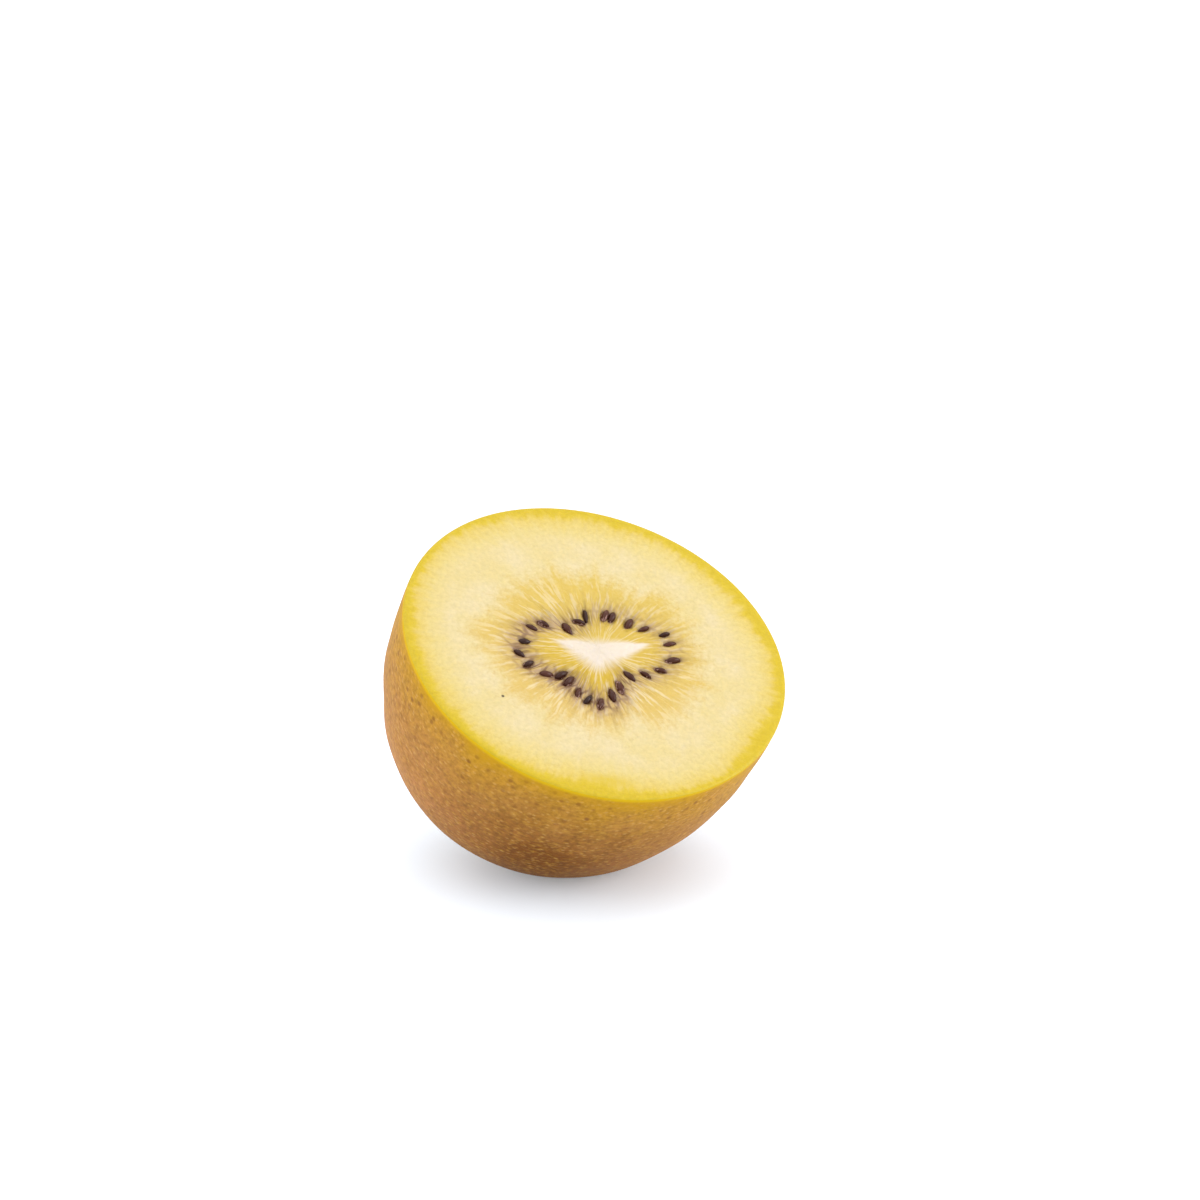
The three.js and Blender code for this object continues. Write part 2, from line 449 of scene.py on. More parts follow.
@dataclass
class SeedRing:
    """The seeds: pointed grains with their long axes outwards, half sunk in the pulp round the core."""

    heart: HeartShape
    count: int = 26
    start: float = 4.3
    crowding: tuple[Wave, ...] = (Wave(1, 4.0, 113.0), Wave(2, 7.1, -13.0))
    step_share: float = 0.35
    in_out: float = 0.85
    turn: float = 18.0
    tumble: float = 60.0
    tumble_power: int = 9
    length: float = 2.15
    width: float = 1.1
    thickness: float = 1.4
    size_share: float = 0.18
    slim_share: float = 0.38
    stands: float = 0.5
    cover: float = 0.32
    taper: float = 0.3
    wake_out: float = 1.9
    wake_out_low: float = 1.6
    wake_in: float = 1.3
    wake_width: float = 0.6
    wake_strength: float = 0.75
    wake_shade: float = 0.25
    draw_start: int = 407553
    place_draws: int = 5
    cover_draws: int = 2
    rows: int = 18
    sides: int = 24
    grains: list[Grain] = field(default_factory=list)

    def draws(self, amount: int) -> list[float]:
        """Repeatable draws from -1 to 1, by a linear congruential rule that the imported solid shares.

        Args:
            amount: how many draws.

        Returns:
            The draws, in order.
        """
        state = self.draw_start
        values = []
        for _ in range(amount):
            state = (state * DRAW_FACTOR + DRAW_STEP) % DRAW_RANGE
            values.append(2 * state / DRAW_RANGE - 1)
        return values

    def settle(self) -> None:
        """Places the seeds in crowding steps round the core, each moved and turned a little.

        After the draws for all the places come two for each seed: how slim it is and how far it is covered.
        """
        places = self.place_draws * self.count
        values = self.draws(places + self.cover_draws * self.count)
        draws = iter(values[:places])
        later = iter(values[places:])
        for i in range(self.count):
            step = i + self.step_share * next(draws)
            even = self.start + 360 * step / self.count
            angle = math.radians(even + float(wave_sum(self.crowding, np.array(math.radians(even)))))
            distance = float(self.heart.ring_edge(np.array(angle))) + self.in_out * next(draws)
            askew = next(draws)
            bearing = angle + math.radians(self.turn * askew + self.tumble * askew ** self.tumble_power)
            size = 1 + self.size_share * next(draws)
            x = self.heart.middle[0] + distance * math.cos(angle)
            y = self.heart.middle[1] + distance * math.sin(angle)
            shade = next(draws)
            slim = 1 - self.slim_share * to_share(next(later))
            stands = self.stands - self.cover * to_share(next(later))
            self.grains.append(Grain(x, y, bearing, self.length * size, self.width * size * slim,
                                     self.thickness * size, stands, shade))

    def nearest(self, x: np.ndarray, y: np.ndarray) -> tuple[np.ndarray, np.ndarray]:
        """How far each place on the face is from the nearest seed, and how deep in a seed's wake it is.

        Args:
            x: places along the long axis, in mm.
            y: places along the short axis, in mm.

        Returns:
            Distance in mm outside the nearest seed's outline, and the wake: at most one, strongest at a
            seed, and fading outwards and inwards along its long axis.
        """
        gap = np.full_like(x, FAR_MM)
        wake = np.zeros_like(x)
        for grain in self.grains:
            dx = x - grain.x
            dy = y - grain.y
            along = dx * math.cos(grain.bearing) + dy * math.sin(grain.bearing)
            across = -dx * math.sin(grain.bearing) + dy * math.cos(grain.bearing)
            half_length = grain.length * grain.shown() / 2
            half_width = grain.width * grain.shown() / 2
            share = np.hypot(along / half_length, across / half_width)
            gap = np.minimum(gap, (share - 1) * half_width)
            low = to_share(math.cos(grain.bearing - math.radians(self.heart.low_bearing)))
            reach = np.where(along > 0, self.wake_out + self.wake_out_low * low, self.wake_in)
            strength = self.wake_strength + self.wake_shade * grain.shade
            wake = np.maximum(wake, bell(along, reach) * bell(across, self.wake_width) * strength)
        return gap, wake

    def surface(self, grain: Grain) -> np.ndarray:
        """One seed as a grid in its own axes: an ellipsoid drawn to a blunt point at its inner end.

        Args:
            grain: the seed's place, turn and size.

        Returns:
            Points in mm along, across and above the seed's middle, as rows by sides by three.
        """
        turns = np.arange(self.sides) * 2 * math.pi / self.sides
        row, side = np.meshgrid(np.linspace(0, math.pi, self.rows), turns, indexing="ij")
        along = -np.cos(row) * grain.length / 2
        ring = np.sin(row) * (1 - self.taper * np.maximum(0.0, np.cos(row)))
        across = ring * np.cos(side) * grain.width / 2
        above = ring * np.sin(side) * grain.thickness / 2
        return np.stack([along, across, above], axis=-1)

    def sink(self, grain: Grain, points: np.ndarray) -> np.ndarray:
        """Moves a seed's points to its place on the face, turned to its bearing and sunk into the pulp.

        Args:
            grain: the seed.
            points: the seed's points in mm in its own axes.

        Returns:
            The points in mm in the half's own axes.
        """
        turn = grain.bearing
        x = grain.x + points[..., 0] * math.cos(turn) - points[..., 1] * math.sin(turn)
        y = grain.y + points[..., 0] * math.sin(turn) + points[..., 1] * math.cos(turn)
        base = float(self.heart.height(np.array(grain.x), np.array(grain.y)))
        level = base + grain.stands - grain.thickness / 2
        return np.stack([x, y, level + points[..., 2]], axis=-1)


def grid_faces(rows: int, sides: int, first: int) -> list[list[int]]:
    """Faces of a closed surface of revolution whose first and last rows are poles that meet in one point.

    Args:
        rows: rings between the poles.
        sides: points in a ring.
        first: index of the first pole; the rings follow it, then the last pole.

    Returns:
        Triangles at the poles and quads between the rings, with their faces outwards.
    """
    side = np.arange(sides)
    after = (side + 1) % sides
    last = first + 1 + rows * sides
    start = first + 1
    end = last - sides
    fan_in = np.stack([np.full(sides, first), start + side, start + after], axis=1)
    fan_out = np.stack([end + side, np.full(sides, last), end + after], axis=1)
    ring = start + sides * np.arange(rows - 1)[:, None]
    quads = np.stack([ring + side, ring + sides + side, ring + sides + after, ring + after], axis=-1)
    return fan_in.tolist() + quads.reshape(-1, 4).tolist() + fan_out.tolist()


def make_mesh(name: str, points: np.ndarray, faces: list[list[int]]) -> bpy.types.Object:
    """Makes a smooth mesh object at the origin and puts it in the scene.

    Args:
        name: the piece's name.
        points: places in metres in the frame, one row each.
        faces: corner indices of each face.

    Returns:
        The piece's object.
    """
    mesh = bpy.data.meshes.new(name)
    mesh.from_pydata(points.tolist(), [], faces)
    mesh.polygons.foreach_set("use_smooth", np.ones(len(mesh.polygons), dtype=bool))
    mesh.update()
    piece = bpy.data.objects.new(name, mesh)
    bpy.context.scene.collection.objects.link(piece)
    return piece


def store(piece: bpy.types.Object, name: str, values: np.ndarray) -> None:
    """Keeps a number or a vector for each point of a piece, under a name that its materials read.

    Args:
        piece: the piece's object.
        name: the name that the materials read.
        values: a number or a vector for each point.
    """
    kind = "FLOAT" if values.ndim == 1 else "FLOAT_VECTOR"
    layer = piece.data.attributes.new(name, kind, "POINT")
    layer.data.foreach_set("value" if values.ndim == 1 else "vector", values.astype(np.float32).ravel())


@dataclass(frozen=True)
class StemEnd:
    """Relief of the stem end: a raised rough disc, a collar and the pit where the stalk was."""

    radius: float = 8.4
    rise: float = 0.55
    edge: float = 1.1
    collar_radius: float = 3.9
    collar_width: float = 0.9
    collar_rise: float = 0.55
    pit_radius: float = 2.1
    pit_depth: float = 1.0
    knob_waves: tuple[tuple[int, float], ...] = ((7, 1.3), (11, -0.8), (4, 2.1))
    knob_height: float = 0.16
    knob_place: float = 6.2
    knob_width: float = 1.9
    grain: Unevenness = Unevenness(0.09, 1.1, 24, 31)
    grain_full: float = 7.0
    grain_end: float = 9.0

    def relief(self, x: np.ndarray, y: np.ndarray) -> np.ndarray:
        """Height outwards: the disc with a collar, knobs and fine grain, less the pit.

        The disc falls off softly, the collar and the pit are bells, and the knobs are waves that twist
        outwards.

        Args:
            x: places along the long axis, in mm.
            y: places along the short axis, in mm.

        Returns:
            Heights in mm.
        """
        distance = np.hypot(x, y)
        angle = np.arctan2(y, x)
        past = (distance - self.radius) / (self.edge / 3)
        disc = self.rise / (1 + np.exp(np.minimum(LARGEST_EXPONENT, past)))
        collar = self.collar_rise * bell(distance - self.collar_radius, self.collar_width)
        knobs = np.zeros_like(distance)
        for times, twist in self.knob_waves:
            knobs += self.knob_height * np.cos(times * angle + twist * distance)
        knobs *= bell(distance - self.knob_place, self.knob_width)
        inside = smooth_step(-distance, -self.grain_end, -self.grain_full)
        grain = self.grain.at(np.stack([x, y], axis=-1)) * inside
        return disc + collar + knobs + grain - self.pit_depth * bell(distance, self.pit_radius)


@dataclass
class HalfFruit:
    """The half itself: one closed surface from the middle of the cut face over its edge to the stem end."""

    shape: FruitShape
    heart: HeartShape
    seeds: SeedRing
    stem_end: StemEnd
    sides: int = 400
    heart_rows: int = 84
    outer_rows: int = 22
    heart_share: float = 0.66
    edge_rows: int = 5
    skin_rows: int = 112
    pocket_depth: float = 0.3
    pocket_width: float = 0.35
    face_grain: Unevenness = Unevenness(0.025, 0.9, 30, 11)
    face_fade: float = 0.12
    skin_swell: Unevenness = Unevenness(0.05, 9.0, 20, 17)
    skin_fade: float = 0.1
    ray_bend: Unevenness = Unevenness(0.05, 4.0, 24, 21)
    ray_bend_start: float = 3.0
    ray_stretch: float = 0.013
    star_teeth: tuple[Spokes, Spokes] = (Spokes(0.45, (17, 29, 43), 3), Spokes(0.5, (5, 8, 11), 4))
    corner_start: float = 4.0
    corner_fade: float = 0.14
    haze_width: float = 2.1
    haze_outwards: float = 0.3
    haze_bearing: float = 225.0
    haze_mean: float = 0.68
    haze_swing: float = 0.32
    gap_limit: float = 20.0
    # Painted shade on one side of the skin: bearing and width in degrees, mm below the cut to start and be
    # full
    painted_shade_bearing: float = 264.0
    painted_shade_reach: float = 36.0
    painted_shade_start: float = 1.0
    painted_shade_depth: float = 20.0
    painted_shade_drift: Unevenness = Unevenness(1.2, 7.0, 20, 41)
    rim_patches: tuple[RimPatch, ...] = (RimPatch(150.0, 20.0, 0.8), RimPatch(268.0, 15.0, -0.7),
                                         RimPatch(302.0, 18.0, 1.0), RimPatch(335.0, 14.0, -0.9),
                                         RimPatch(30.0, 22.0, -0.9), RimPatch(90.0, 25.0, -0.4),
                                         RimPatch(240.0, 14.0, 0.5))
    scrape_middle: tuple[float, float] = (0.9, -22.1)
    scrape_reach: tuple[float, float] = (3.4, 0.9)

    def face_points(self, angle: np.ndarray) -> np.ndarray:
        """Rings of the cut face: the section shrunk by even shares, raised by the heart's height.

        Args:
            angle: bearings of the points in a ring, in radians.

        Returns:
            Points in mm, as rings by sides by three.
        """
        inner = 1 - self.shape.edge_width / self.shape.short_radius
        share = np.concatenate([
            np.linspace(0, self.heart_share, self.heart_rows + 1)[1:],
            np.linspace(self.heart_share, inner, self.outer_rows + 1)[1:],
        ])
        flat = share[:, None, None] * self.shape.section(angle)[None]
        x, y = flat[..., 0], flat[..., 1]
        gap, _ = self.seeds.nearest(x, y)
        pocket = self.pocket_depth * bell(np.maximum(gap, 0.0), self.pocket_width)
        fade = smooth_step(1 - share, 0.0, self.face_fade)[:, None]
        height = (self.heart.height(x, y) - pocket + self.face_grain.at(flat)) * fade
        return np.concatenate([flat, height[..., None]], axis=-1)

    def edge_points(self, angle: np.ndarray) -> np.ndarray:
        """Rings over the cut edge: a quarter turn from the face down to the skin.

        Args:
            angle: bearings in radians.

        Returns:
            Points in mm, as rings by sides by three.
        """
        turn = np.linspace(0, math.pi / 2, self.edge_rows + 1)[1:]
        share = 1 - (1 - np.sin(turn)) * self.shape.edge_width / self.shape.short_radius
        flat = share[:, None, None] * self.shape.section(angle)[None]
        drop = -self.shape.edge_drop * (1 - np.cos(turn))
        deep = np.broadcast_to(drop[:, None, None], flat.shape[:2] + (1,))
        return np.concatenate([flat, deep], axis=-1)

    def skin_points(self, angle: np.ndarray) -> np.ndarray:
        """Rings of the skin: the section shrinks by the profile's share while the depth grows as the sine.

        Args:
            angle: bearings of the points in a ring, in radians.

        Returns:
            Points in mm, as rings by sides by three.
        """
        way = np.arange(1, self.skin_rows + 1) / (self.skin_rows + 1)
        turn = math.pi / 2 * (1 - (1 - way) ** (1 / self.shape.profile_power))
        flat = self.shape.share_at(turn)[:, None, None] * self.shape.section(angle)[None]
        deep = np.broadcast_to((-self.shape.depth * np.sin(turn))[:, None], flat.shape[:2])
        points = np.concatenate([flat, deep[..., None]], axis=-1)
        swell = self.skin_swell.at(points) * smooth_step(way, 0.0, self.skin_fade)[:, None]
        points[..., :2] *= 1 + swell[..., None] / self.shape.short_radius
        points[..., 2] -= self.stem_end.relief(points[..., 0], points[..., 1])
        return points

    def poles(self) -> tuple[np.ndarray, np.ndarray]:
        """The middle of the cut face and the bottom of the stem end's pit.

        Returns:
            Each as one row of x, y and z in mm.
        """
        zero = np.zeros(1)
        face = np.array([[0.0, 0.0, float(self.heart.height(zero, zero)[0])]])
        stem = np.array([[0.0, 0.0, -self.shape.depth - float(self.stem_end.relief(zero, zero)[0])]])
        return face, stem

    def build(self) -> bpy.types.Object:
        """Makes the half's mesh, lays it down and keeps the fields that its materials read.

        Returns:
            The piece's object.
        """
        angle = np.arange(self.sides) * 2 * math.pi / self.sides
        rings = [self.face_points(angle), self.edge_points(angle), self.skin_points(angle)]
        grid = np.concatenate(rings)
        first, last = self.poles()
        own = np.concatenate([first, grid.reshape(-1, 3), last])
        piece = make_mesh("kiwi_half_body", self.shape.lay_down(own), grid_faces(len(grid), self.sides, 0))
        self.mark_zones(piece, len(rings[0]) + self.edge_rows - 1)
        self.keep_fields(piece, own)
        return piece

    def mark_zones(self, piece: bpy.types.Object, cut_rings: int) -> None:
        """Gives the first rings of faces the cut face's material and the rest the skin's.

        Args:
            piece: the piece's object.
            cut_rings: how many rings of faces the cut face and its edge have.
        """
        number = np.arange(len(piece.data.polygons))
        zone = np.where(number < self.sides * cut_rings, Zone.CUT_FACE.value, Zone.SKIN.value)
        piece.data.polygons.foreach_set("material_index", zone.astype(np.int32))

    def painted_shade(self, own: np.ndarray) -> np.ndarray:
        """Painted shade on one side of the skin: a bell round its bearing that rises with the depth below
        the cut.

        Args:
            own: points in mm in the half's own axes.

        Returns:
            Shares from 0 to 1.
        """
        away = apart(np.arctan2(own[:, 1], own[:, 0]), self.painted_shade_bearing)
        depth = -own[:, 2] + self.painted_shade_drift.at(own)
        side = bell(away, math.radians(self.painted_shade_reach))
        return side * smooth_step(depth, self.painted_shade_start, self.painted_shade_depth)

    def paler(self, angle: np.ndarray) -> np.ndarray:
        """How many mm nearer to the skin the paler flesh comes: a bell round each patch's bearing, summed.

        Args:
            angle: bearings in radians.

        Returns:
            Distances in mm, one for each bearing.
        """
        total = np.zeros_like(angle)
        for patch in self.rim_patches:
            total = total + patch.nearer * bell(apart(angle, patch.bearing), math.radians(patch.reach))
        return total

    def keep_fields(self, piece: bpy.types.Object, own: np.ndarray) -> None:
        """Keeps what the materials read at each point: places in mm, bearings and distances to each feature.

        Args:
            piece: the half's object.
            own: its points in mm in the half's own axes.
        """
        x, y, z = own.T
        distance, angle = self.heart.polar(x, y)
        bent = angle + self.ray_bend.at(own[:, :2]) / np.maximum(distance, self.ray_bend_start)
        from_ring = distance - self.heart.ring_edge(angle)
        gap, wake = self.seeds.nearest(x, y)
        edge_share = self.shape.edge_share(x, y)
        depth = (1 - edge_share) * np.hypot(x, y) / np.maximum(edge_share, SMALLEST_SHARE)
        depth = depth + self.paler(np.arctan2(y, x)) * smooth_step(depth, 0.0, 1.0)
        fine_teeth, wide_teeth = self.star_teeth
        teeth = fine_teeth.at(bent) + wide_teeth.at(bent)
        faded = self.corner_fade * np.maximum(0.0, distance - self.corner_start)
        stained = self.haze_mean + self.haze_swing * np.cos(angle - math.radians(self.haze_bearing))
        scrape_x = bell(x - self.scrape_middle[0], self.scrape_reach[0])
        scrape_y = bell(y - self.scrape_middle[1], self.scrape_reach[1])
        fields = {
            "own_mm": own,
            "round_heart": np.stack([np.cos(bent), np.sin(bent), distance * self.ray_stretch], axis=-1),
            "from_core": distance - self.heart.core_edge(angle) + faded,
            "from_ring": from_ring,
            "from_star": distance - self.heart.star_edge(angle) + teeth,
            "low_side": to_share(np.cos(angle - math.radians(self.heart.low_bearing))),
            "rim_depth": depth,
            "scrape": scrape_x * scrape_y,
            "ring_haze": stained * bell(from_ring - self.haze_outwards, self.haze_width),
            "seed_gap": np.minimum(gap, self.gap_limit),
            "seed_wake": wake,
            "below_cut": -z,
            # Share of painted shade on the skin
            "painted_shade": self.painted_shade(own),
            "from_stem": np.where(z < -self.shape.depth / 2, np.hypot(x, y), FAR_MM),
        }
        for name, values in fields.items():
            store(piece, name, values)


@dataclass(frozen=True)
class CutFleshFinish:
    """Ripe kiwi flesh, freshly cut: moist, soft and slightly see-through, so light spreads inside it."""

    name: str = "cut golden kiwi flesh"
    rim: str = "#AC9403"
    near_rim: str = "#B09820"
    outer: str = "#B59F50"
    middle: str = "#B7A568"
    pale: str = "#B9AA82"
    cream: str = "#B7A672"
    star: str = "#B0963D"
    star_low: str = "#B1964F"
    ray: str = "#C0B08A"
    strand_gap: str = "#9A803E"
    mauve: str = "#573426"
    membrane: str = "#957A5C"
    gold: str = "#AB8E1A"
    core: str = "#C0B4A5"
    speck: str = "#3A2A18"
    speck_place: tuple[float, float, float] = (-13.6, -10.7, 0.0)
    roughness: float = 0.36
    ior: float = 1.37
    spread_mm: float = 1.0

    def material(self) -> bpy.types.Material:
        """Builds the flesh's node tree from the fields that the half keeps.

        Returns:
            The material.
        """
        made, tree = start_material(self.name)
        own = add_node(tree, ATTRIBUTE, {"attribute_name": "own_mm"}).outputs["Vector"]
        around = add_node(tree, ATTRIBUTE, {"attribute_name": "round_heart"}).outputs["Vector"]
        # 45 wide and 160 fine rays round the heart, which are 1.1 mm and 0.3 mm apart at the seeds
        rays = add_node(tree, NOISE, {"Scale": 7.0, "Detail": 3.0, "Roughness": 0.6}, {"Vector": around})
        fine = add_node(tree, NOISE, {"Scale": 25.0, "Detail": 2.0, "Roughness": 0.5}, {"Vector": around})
        # Cells 1 mm wide and 2.5 mm long, which stand for the pockets that the seeds lie in
        stretched = add_node(tree, "ShaderNodeMapping", {"Scale": (8.0, 8.0, 30.0)}, {"Vector": around})
        walls = add_node(tree, "ShaderNodeTexVoronoi", {"feature": "DISTANCE_TO_EDGE", "Scale": 1.0},
                         {"Vector": stretched.outputs[0]})
        # Clouds of about 6 mm, and pulp cells of about 0.6 mm
        cloud = add_node(tree, NOISE, {"Scale": 0.16, "Detail": 3.0}, {"Vector": own})
        grain = add_node(tree, NOISE, {"Scale": 1.6, "Detail": 4.0, "Roughness": 0.65}, {"Vector": own})
        colour = self.base(tree, cloud, grain, fine)
        colour = self.star_layers(tree, colour, rays, grain)
        colour = self.strands(tree, colour, fine)
        colour = self.golden_heart(tree, colour, fine)
        colour = self.seed_pockets(tree, colour, fine, grain)
        colour = self.pocket_walls(tree, colour, walls)
        colour = self.core_over(tree, colour, rays)
        colour = self.marks(tree, colour, own, grain)
        self.surface(tree, colour, grain, fine)
        return made

    def base(self, tree: bpy.types.NodeTree, cloud: bpy.types.Node, grain: bpy.types.Node,
             fine: bpy.types.Node) -> bpy.types.NodeSocket:
        """Colour inwards from the rim: deep yellow, then cream, with clouds, cells and streaks.

        Args:
            tree: the material's node tree.
            cloud: noise for wide clouds.
            grain: noise for the pulp's cells.
            fine: noise for the fine rays.

        Returns:
            The colour.
        """
        inwards = add_node(tree, ATTRIBUTE, {"attribute_name": "rim_depth"}).outputs["Fac"]
        drift = add_node(tree, MATH, {"operation": "MULTIPLY_ADD", 1: 0.16, 2: -0.08},
                         {0: cloud.outputs["Fac"]})
        shifted = add_node(tree, MATH, {"operation": "MULTIPLY_ADD", 1: 0.1, 2: -0.03}, {0: inwards})
        ragged = add_node(tree, MATH, {"operation": "MULTIPLY_ADD", 1: 0.06},
                          {0: grain.outputs["Fac"], 2: shifted.outputs[0]})
        cloudy = add_node(tree, MATH, {"operation": "ADD"}, {0: ragged.outputs[0], 1: drift.outputs[0]})
        streaky = add_node(tree, MATH, {"operation": "MULTIPLY_ADD", 1: 0.24},
                           {0: fine.outputs["Fac"], 2: cloudy.outputs[0]})
        share = add_node(tree, MATH, {"operation": "SUBTRACT", 1: 0.12}, {0: streaky.outputs[0]})
        clouds = add_node(tree, MAP_RANGE, {"From Min": 0.38, "From Max": 0.62},
                          {"Value": cloud.outputs["Fac"]})
        inner = add_node(tree, MIX, {**COLOURS, MIX_A: linear(self.pale), MIX_B: linear(self.cream)},
                         {0: clouds.outputs[0]})
        ramp = add_node(tree, "ShaderNodeValToRGB", {}, {"Fac": share.outputs[0]})
        # The ramp runs over the first 10 mm inwards from the skin
        stops = ((0.06, self.rim), (0.12, self.near_rim), (0.21, self.outer), (0.4, self.middle))
        set_stops(ramp, stops)
        deep = add_node(tree, MAP_RANGE, {**SMOOTH, "From Min": 0.35, "From Max": 0.7},
                        {"Value": share.outputs[0]})
        plain = add_node(tree, MIX, COLOURS,
                         {0: deep.outputs[0], MIX_A: ramp.outputs["Color"],
                          MIX_B: inner.outputs[MIX_RESULT]})
        speckle = add_node(tree, MAP_RANGE,
                           {"From Min": 0.35, "From Max": 0.65, "To Min": 0.93, "To Max": 1.05},
                           {"Value": grain.outputs["Fac"]})
        return add_node(tree, MIX, {**COLOURS, "blend_type": "MULTIPLY", 0: 1.0},
                        {MIX_A: plain.outputs[MIX_RESULT], MIX_B: speckle.outputs[0]}).outputs[MIX_RESULT]

    def star_layers(self, tree: bpy.types.NodeTree, colour: bpy.types.NodeSocket, rays: bpy.types.Node,
                    grain: bpy.types.Node) -> bpy.types.NodeSocket:
        """Darker see-through pulp round the seeds: olive yellow above, greyer below, with a ragged edge.

        Args:
            tree: the material's node tree.
            colour: the colour that this layer goes over.
            rays: noise for the wide rays.
            grain: noise for the pulp's cells.

        Returns:
            The colour with this layer.
        """
        star = add_node(tree, ATTRIBUTE, {"attribute_name": "from_star"}).outputs["Fac"]
        low = add_node(tree, ATTRIBUTE, {"attribute_name": "low_side"}).outputs["Fac"]
        rough = add_node(tree, MATH, {"operation": "MULTIPLY_ADD", 1: 2.2},
                         {0: rays.outputs["Fac"], 2: star})
        blotch = add_node(tree, MATH, {"operation": "MULTIPLY_ADD", 1: 5.0},
                          {0: grain.outputs["Fac"], 2: rough.outputs[0]})
        inside = add_node(tree, MAP_RANGE, {**SMOOTH, "From Min": 5.7, "From Max": 0.8, "To Max": 0.95},
                          {"Value": blotch.outputs[0]})
        tint = add_node(tree, MIX, {**COLOURS, MIX_A: linear(self.star), MIX_B: linear(self.star_low)},
                        {0: low})
        return add_node(tree, MIX, COLOURS,
                        {0: inside.outputs[0], MIX_A: colour,
                         MIX_B: tint.outputs[MIX_RESULT]}).outputs[MIX_RESULT]

    def strands(self, tree: bpy.types.NodeTree, colour: bpy.types.NodeSocket,
                fine: bpy.types.Node) -> bpy.types.NodeSocket:
        """Thin pale strands out from the seeds, with darker gaps between them on the low side.

        Args:
            tree: the material's node tree.
            colour: the colour that this layer goes over.
            fine: noise for the fine rays.

        Returns:
            The colour with this layer.
        """
        star = add_node(tree, ATTRIBUTE, {"attribute_name": "from_star"}).outputs["Fac"]
        ring = add_node(tree, ATTRIBUTE, {"attribute_name": "from_ring"}).outputs["Fac"]
        low = add_node(tree, ATTRIBUTE, {"attribute_name": "low_side"}).outputs["Fac"]
        hollow = add_node(tree, MAP_RANGE, {**SMOOTH, "From Min": 0.5, "From Max": 0.36, "To Max": 0.7},
                          {"Value": fine.outputs["Fac"]})
        near = add_node(tree, MAP_RANGE, {**SMOOTH, "From Min": 6.0, "From Max": 1.0}, {"Value": ring})
        sunk = add_node(tree, MATH, TIMES, {0: hollow.outputs[0], 1: near.outputs[0]})
        side = add_node(tree, MAP_RANGE, {"To Min": 0.1, "To Max": 1.0}, {"Value": low})
        dark = add_node(tree, MATH, TIMES, {0: sunk.outputs[0], 1: side.outputs[0]})
        colour = add_node(tree, MIX, {**COLOURS, MIX_B: linear(self.strand_gap)},
                          {0: dark.outputs[0], MIX_A: colour}).outputs[MIX_RESULT]
        strand = add_node(tree, MAP_RANGE, {**SMOOTH, "From Min": 0.51, "From Max": 0.63, "To Max": 0.9},
                          {"Value": fine.outputs["Fac"]})
        reach = add_node(tree, MAP_RANGE, {**SMOOTH, "From Min": 2.5, "From Max": -5.0}, {"Value": star})
        bright = add_node(tree, MAP_RANGE, {"To Min": 0.55, "To Max": 1.0}, {"Value": low})
        lit = add_node(tree, MATH, TIMES, {0: reach.outputs[0], 1: bright.outputs[0]})
        pale = add_node(tree, MATH, TIMES, {0: strand.outputs[0], 1: lit.outputs[0]})
        return add_node(tree, MIX, {**COLOURS, MIX_B: linear(self.ray)},
                        {0: pale.outputs[0], MIX_A: colour}).outputs[MIX_RESULT]

    def golden_heart(self, tree: bpy.types.NodeTree, colour: bpy.types.NodeSocket,
                     fine: bpy.types.Node) -> bpy.types.NodeSocket:
        """Golden pulp between the core and the seeds, deepest under the core, with pale lines through it.

        Args:
            tree: the material's node tree.
            colour: the colour that this layer goes over.
            fine: noise for the fine rays.

        Returns:
            The colour with this layer.
        """
        ring = add_node(tree, ATTRIBUTE, {"attribute_name": "from_ring"}).outputs["Fac"]
        low = add_node(tree, ATTRIBUTE, {"attribute_name": "low_side"}).outputs["Fac"]
        golden = add_node(tree, MAP_RANGE, {**SMOOTH, "From Min": 0.5, "From Max": -1.8}, {"Value": ring})
        strength = add_node(tree, MAP_RANGE,
                            {"From Min": 0.3, "From Max": 0.9, "To Min": 0.45, "To Max": 1.0},
                            {"Value": low})
        lines = add_node(tree, MAP_RANGE,
                         {**SMOOTH, "From Min": 0.62, "From Max": 0.48, "To Min": 0.3, "To Max": 1.0},
                         {"Value": fine.outputs["Fac"]})
        core = add_node(tree, ATTRIBUTE, {"attribute_name": "from_core"}).outputs["Fac"]
        off_core = add_node(tree, MAP_RANGE,
                            {**SMOOTH, "From Min": 0.2, "From Max": 1.4, "To Min": 0.2, "To Max": 1.0},
                            {"Value": core})
        inner = add_node(tree, MATH, TIMES, {0: golden.outputs[0], 1: off_core.outputs[0]})
        part = add_node(tree, MATH, TIMES, {0: inner.outputs[0], 1: strength.outputs[0]})
        shown = add_node(tree, MATH, TIMES, {0: part.outputs[0], 1: lines.outputs[0]})
        return add_node(tree, MIX, {**COLOURS, MIX_B: linear(self.gold)},
                        {0: shown.outputs[0], MIX_A: colour}).outputs[MIX_RESULT]

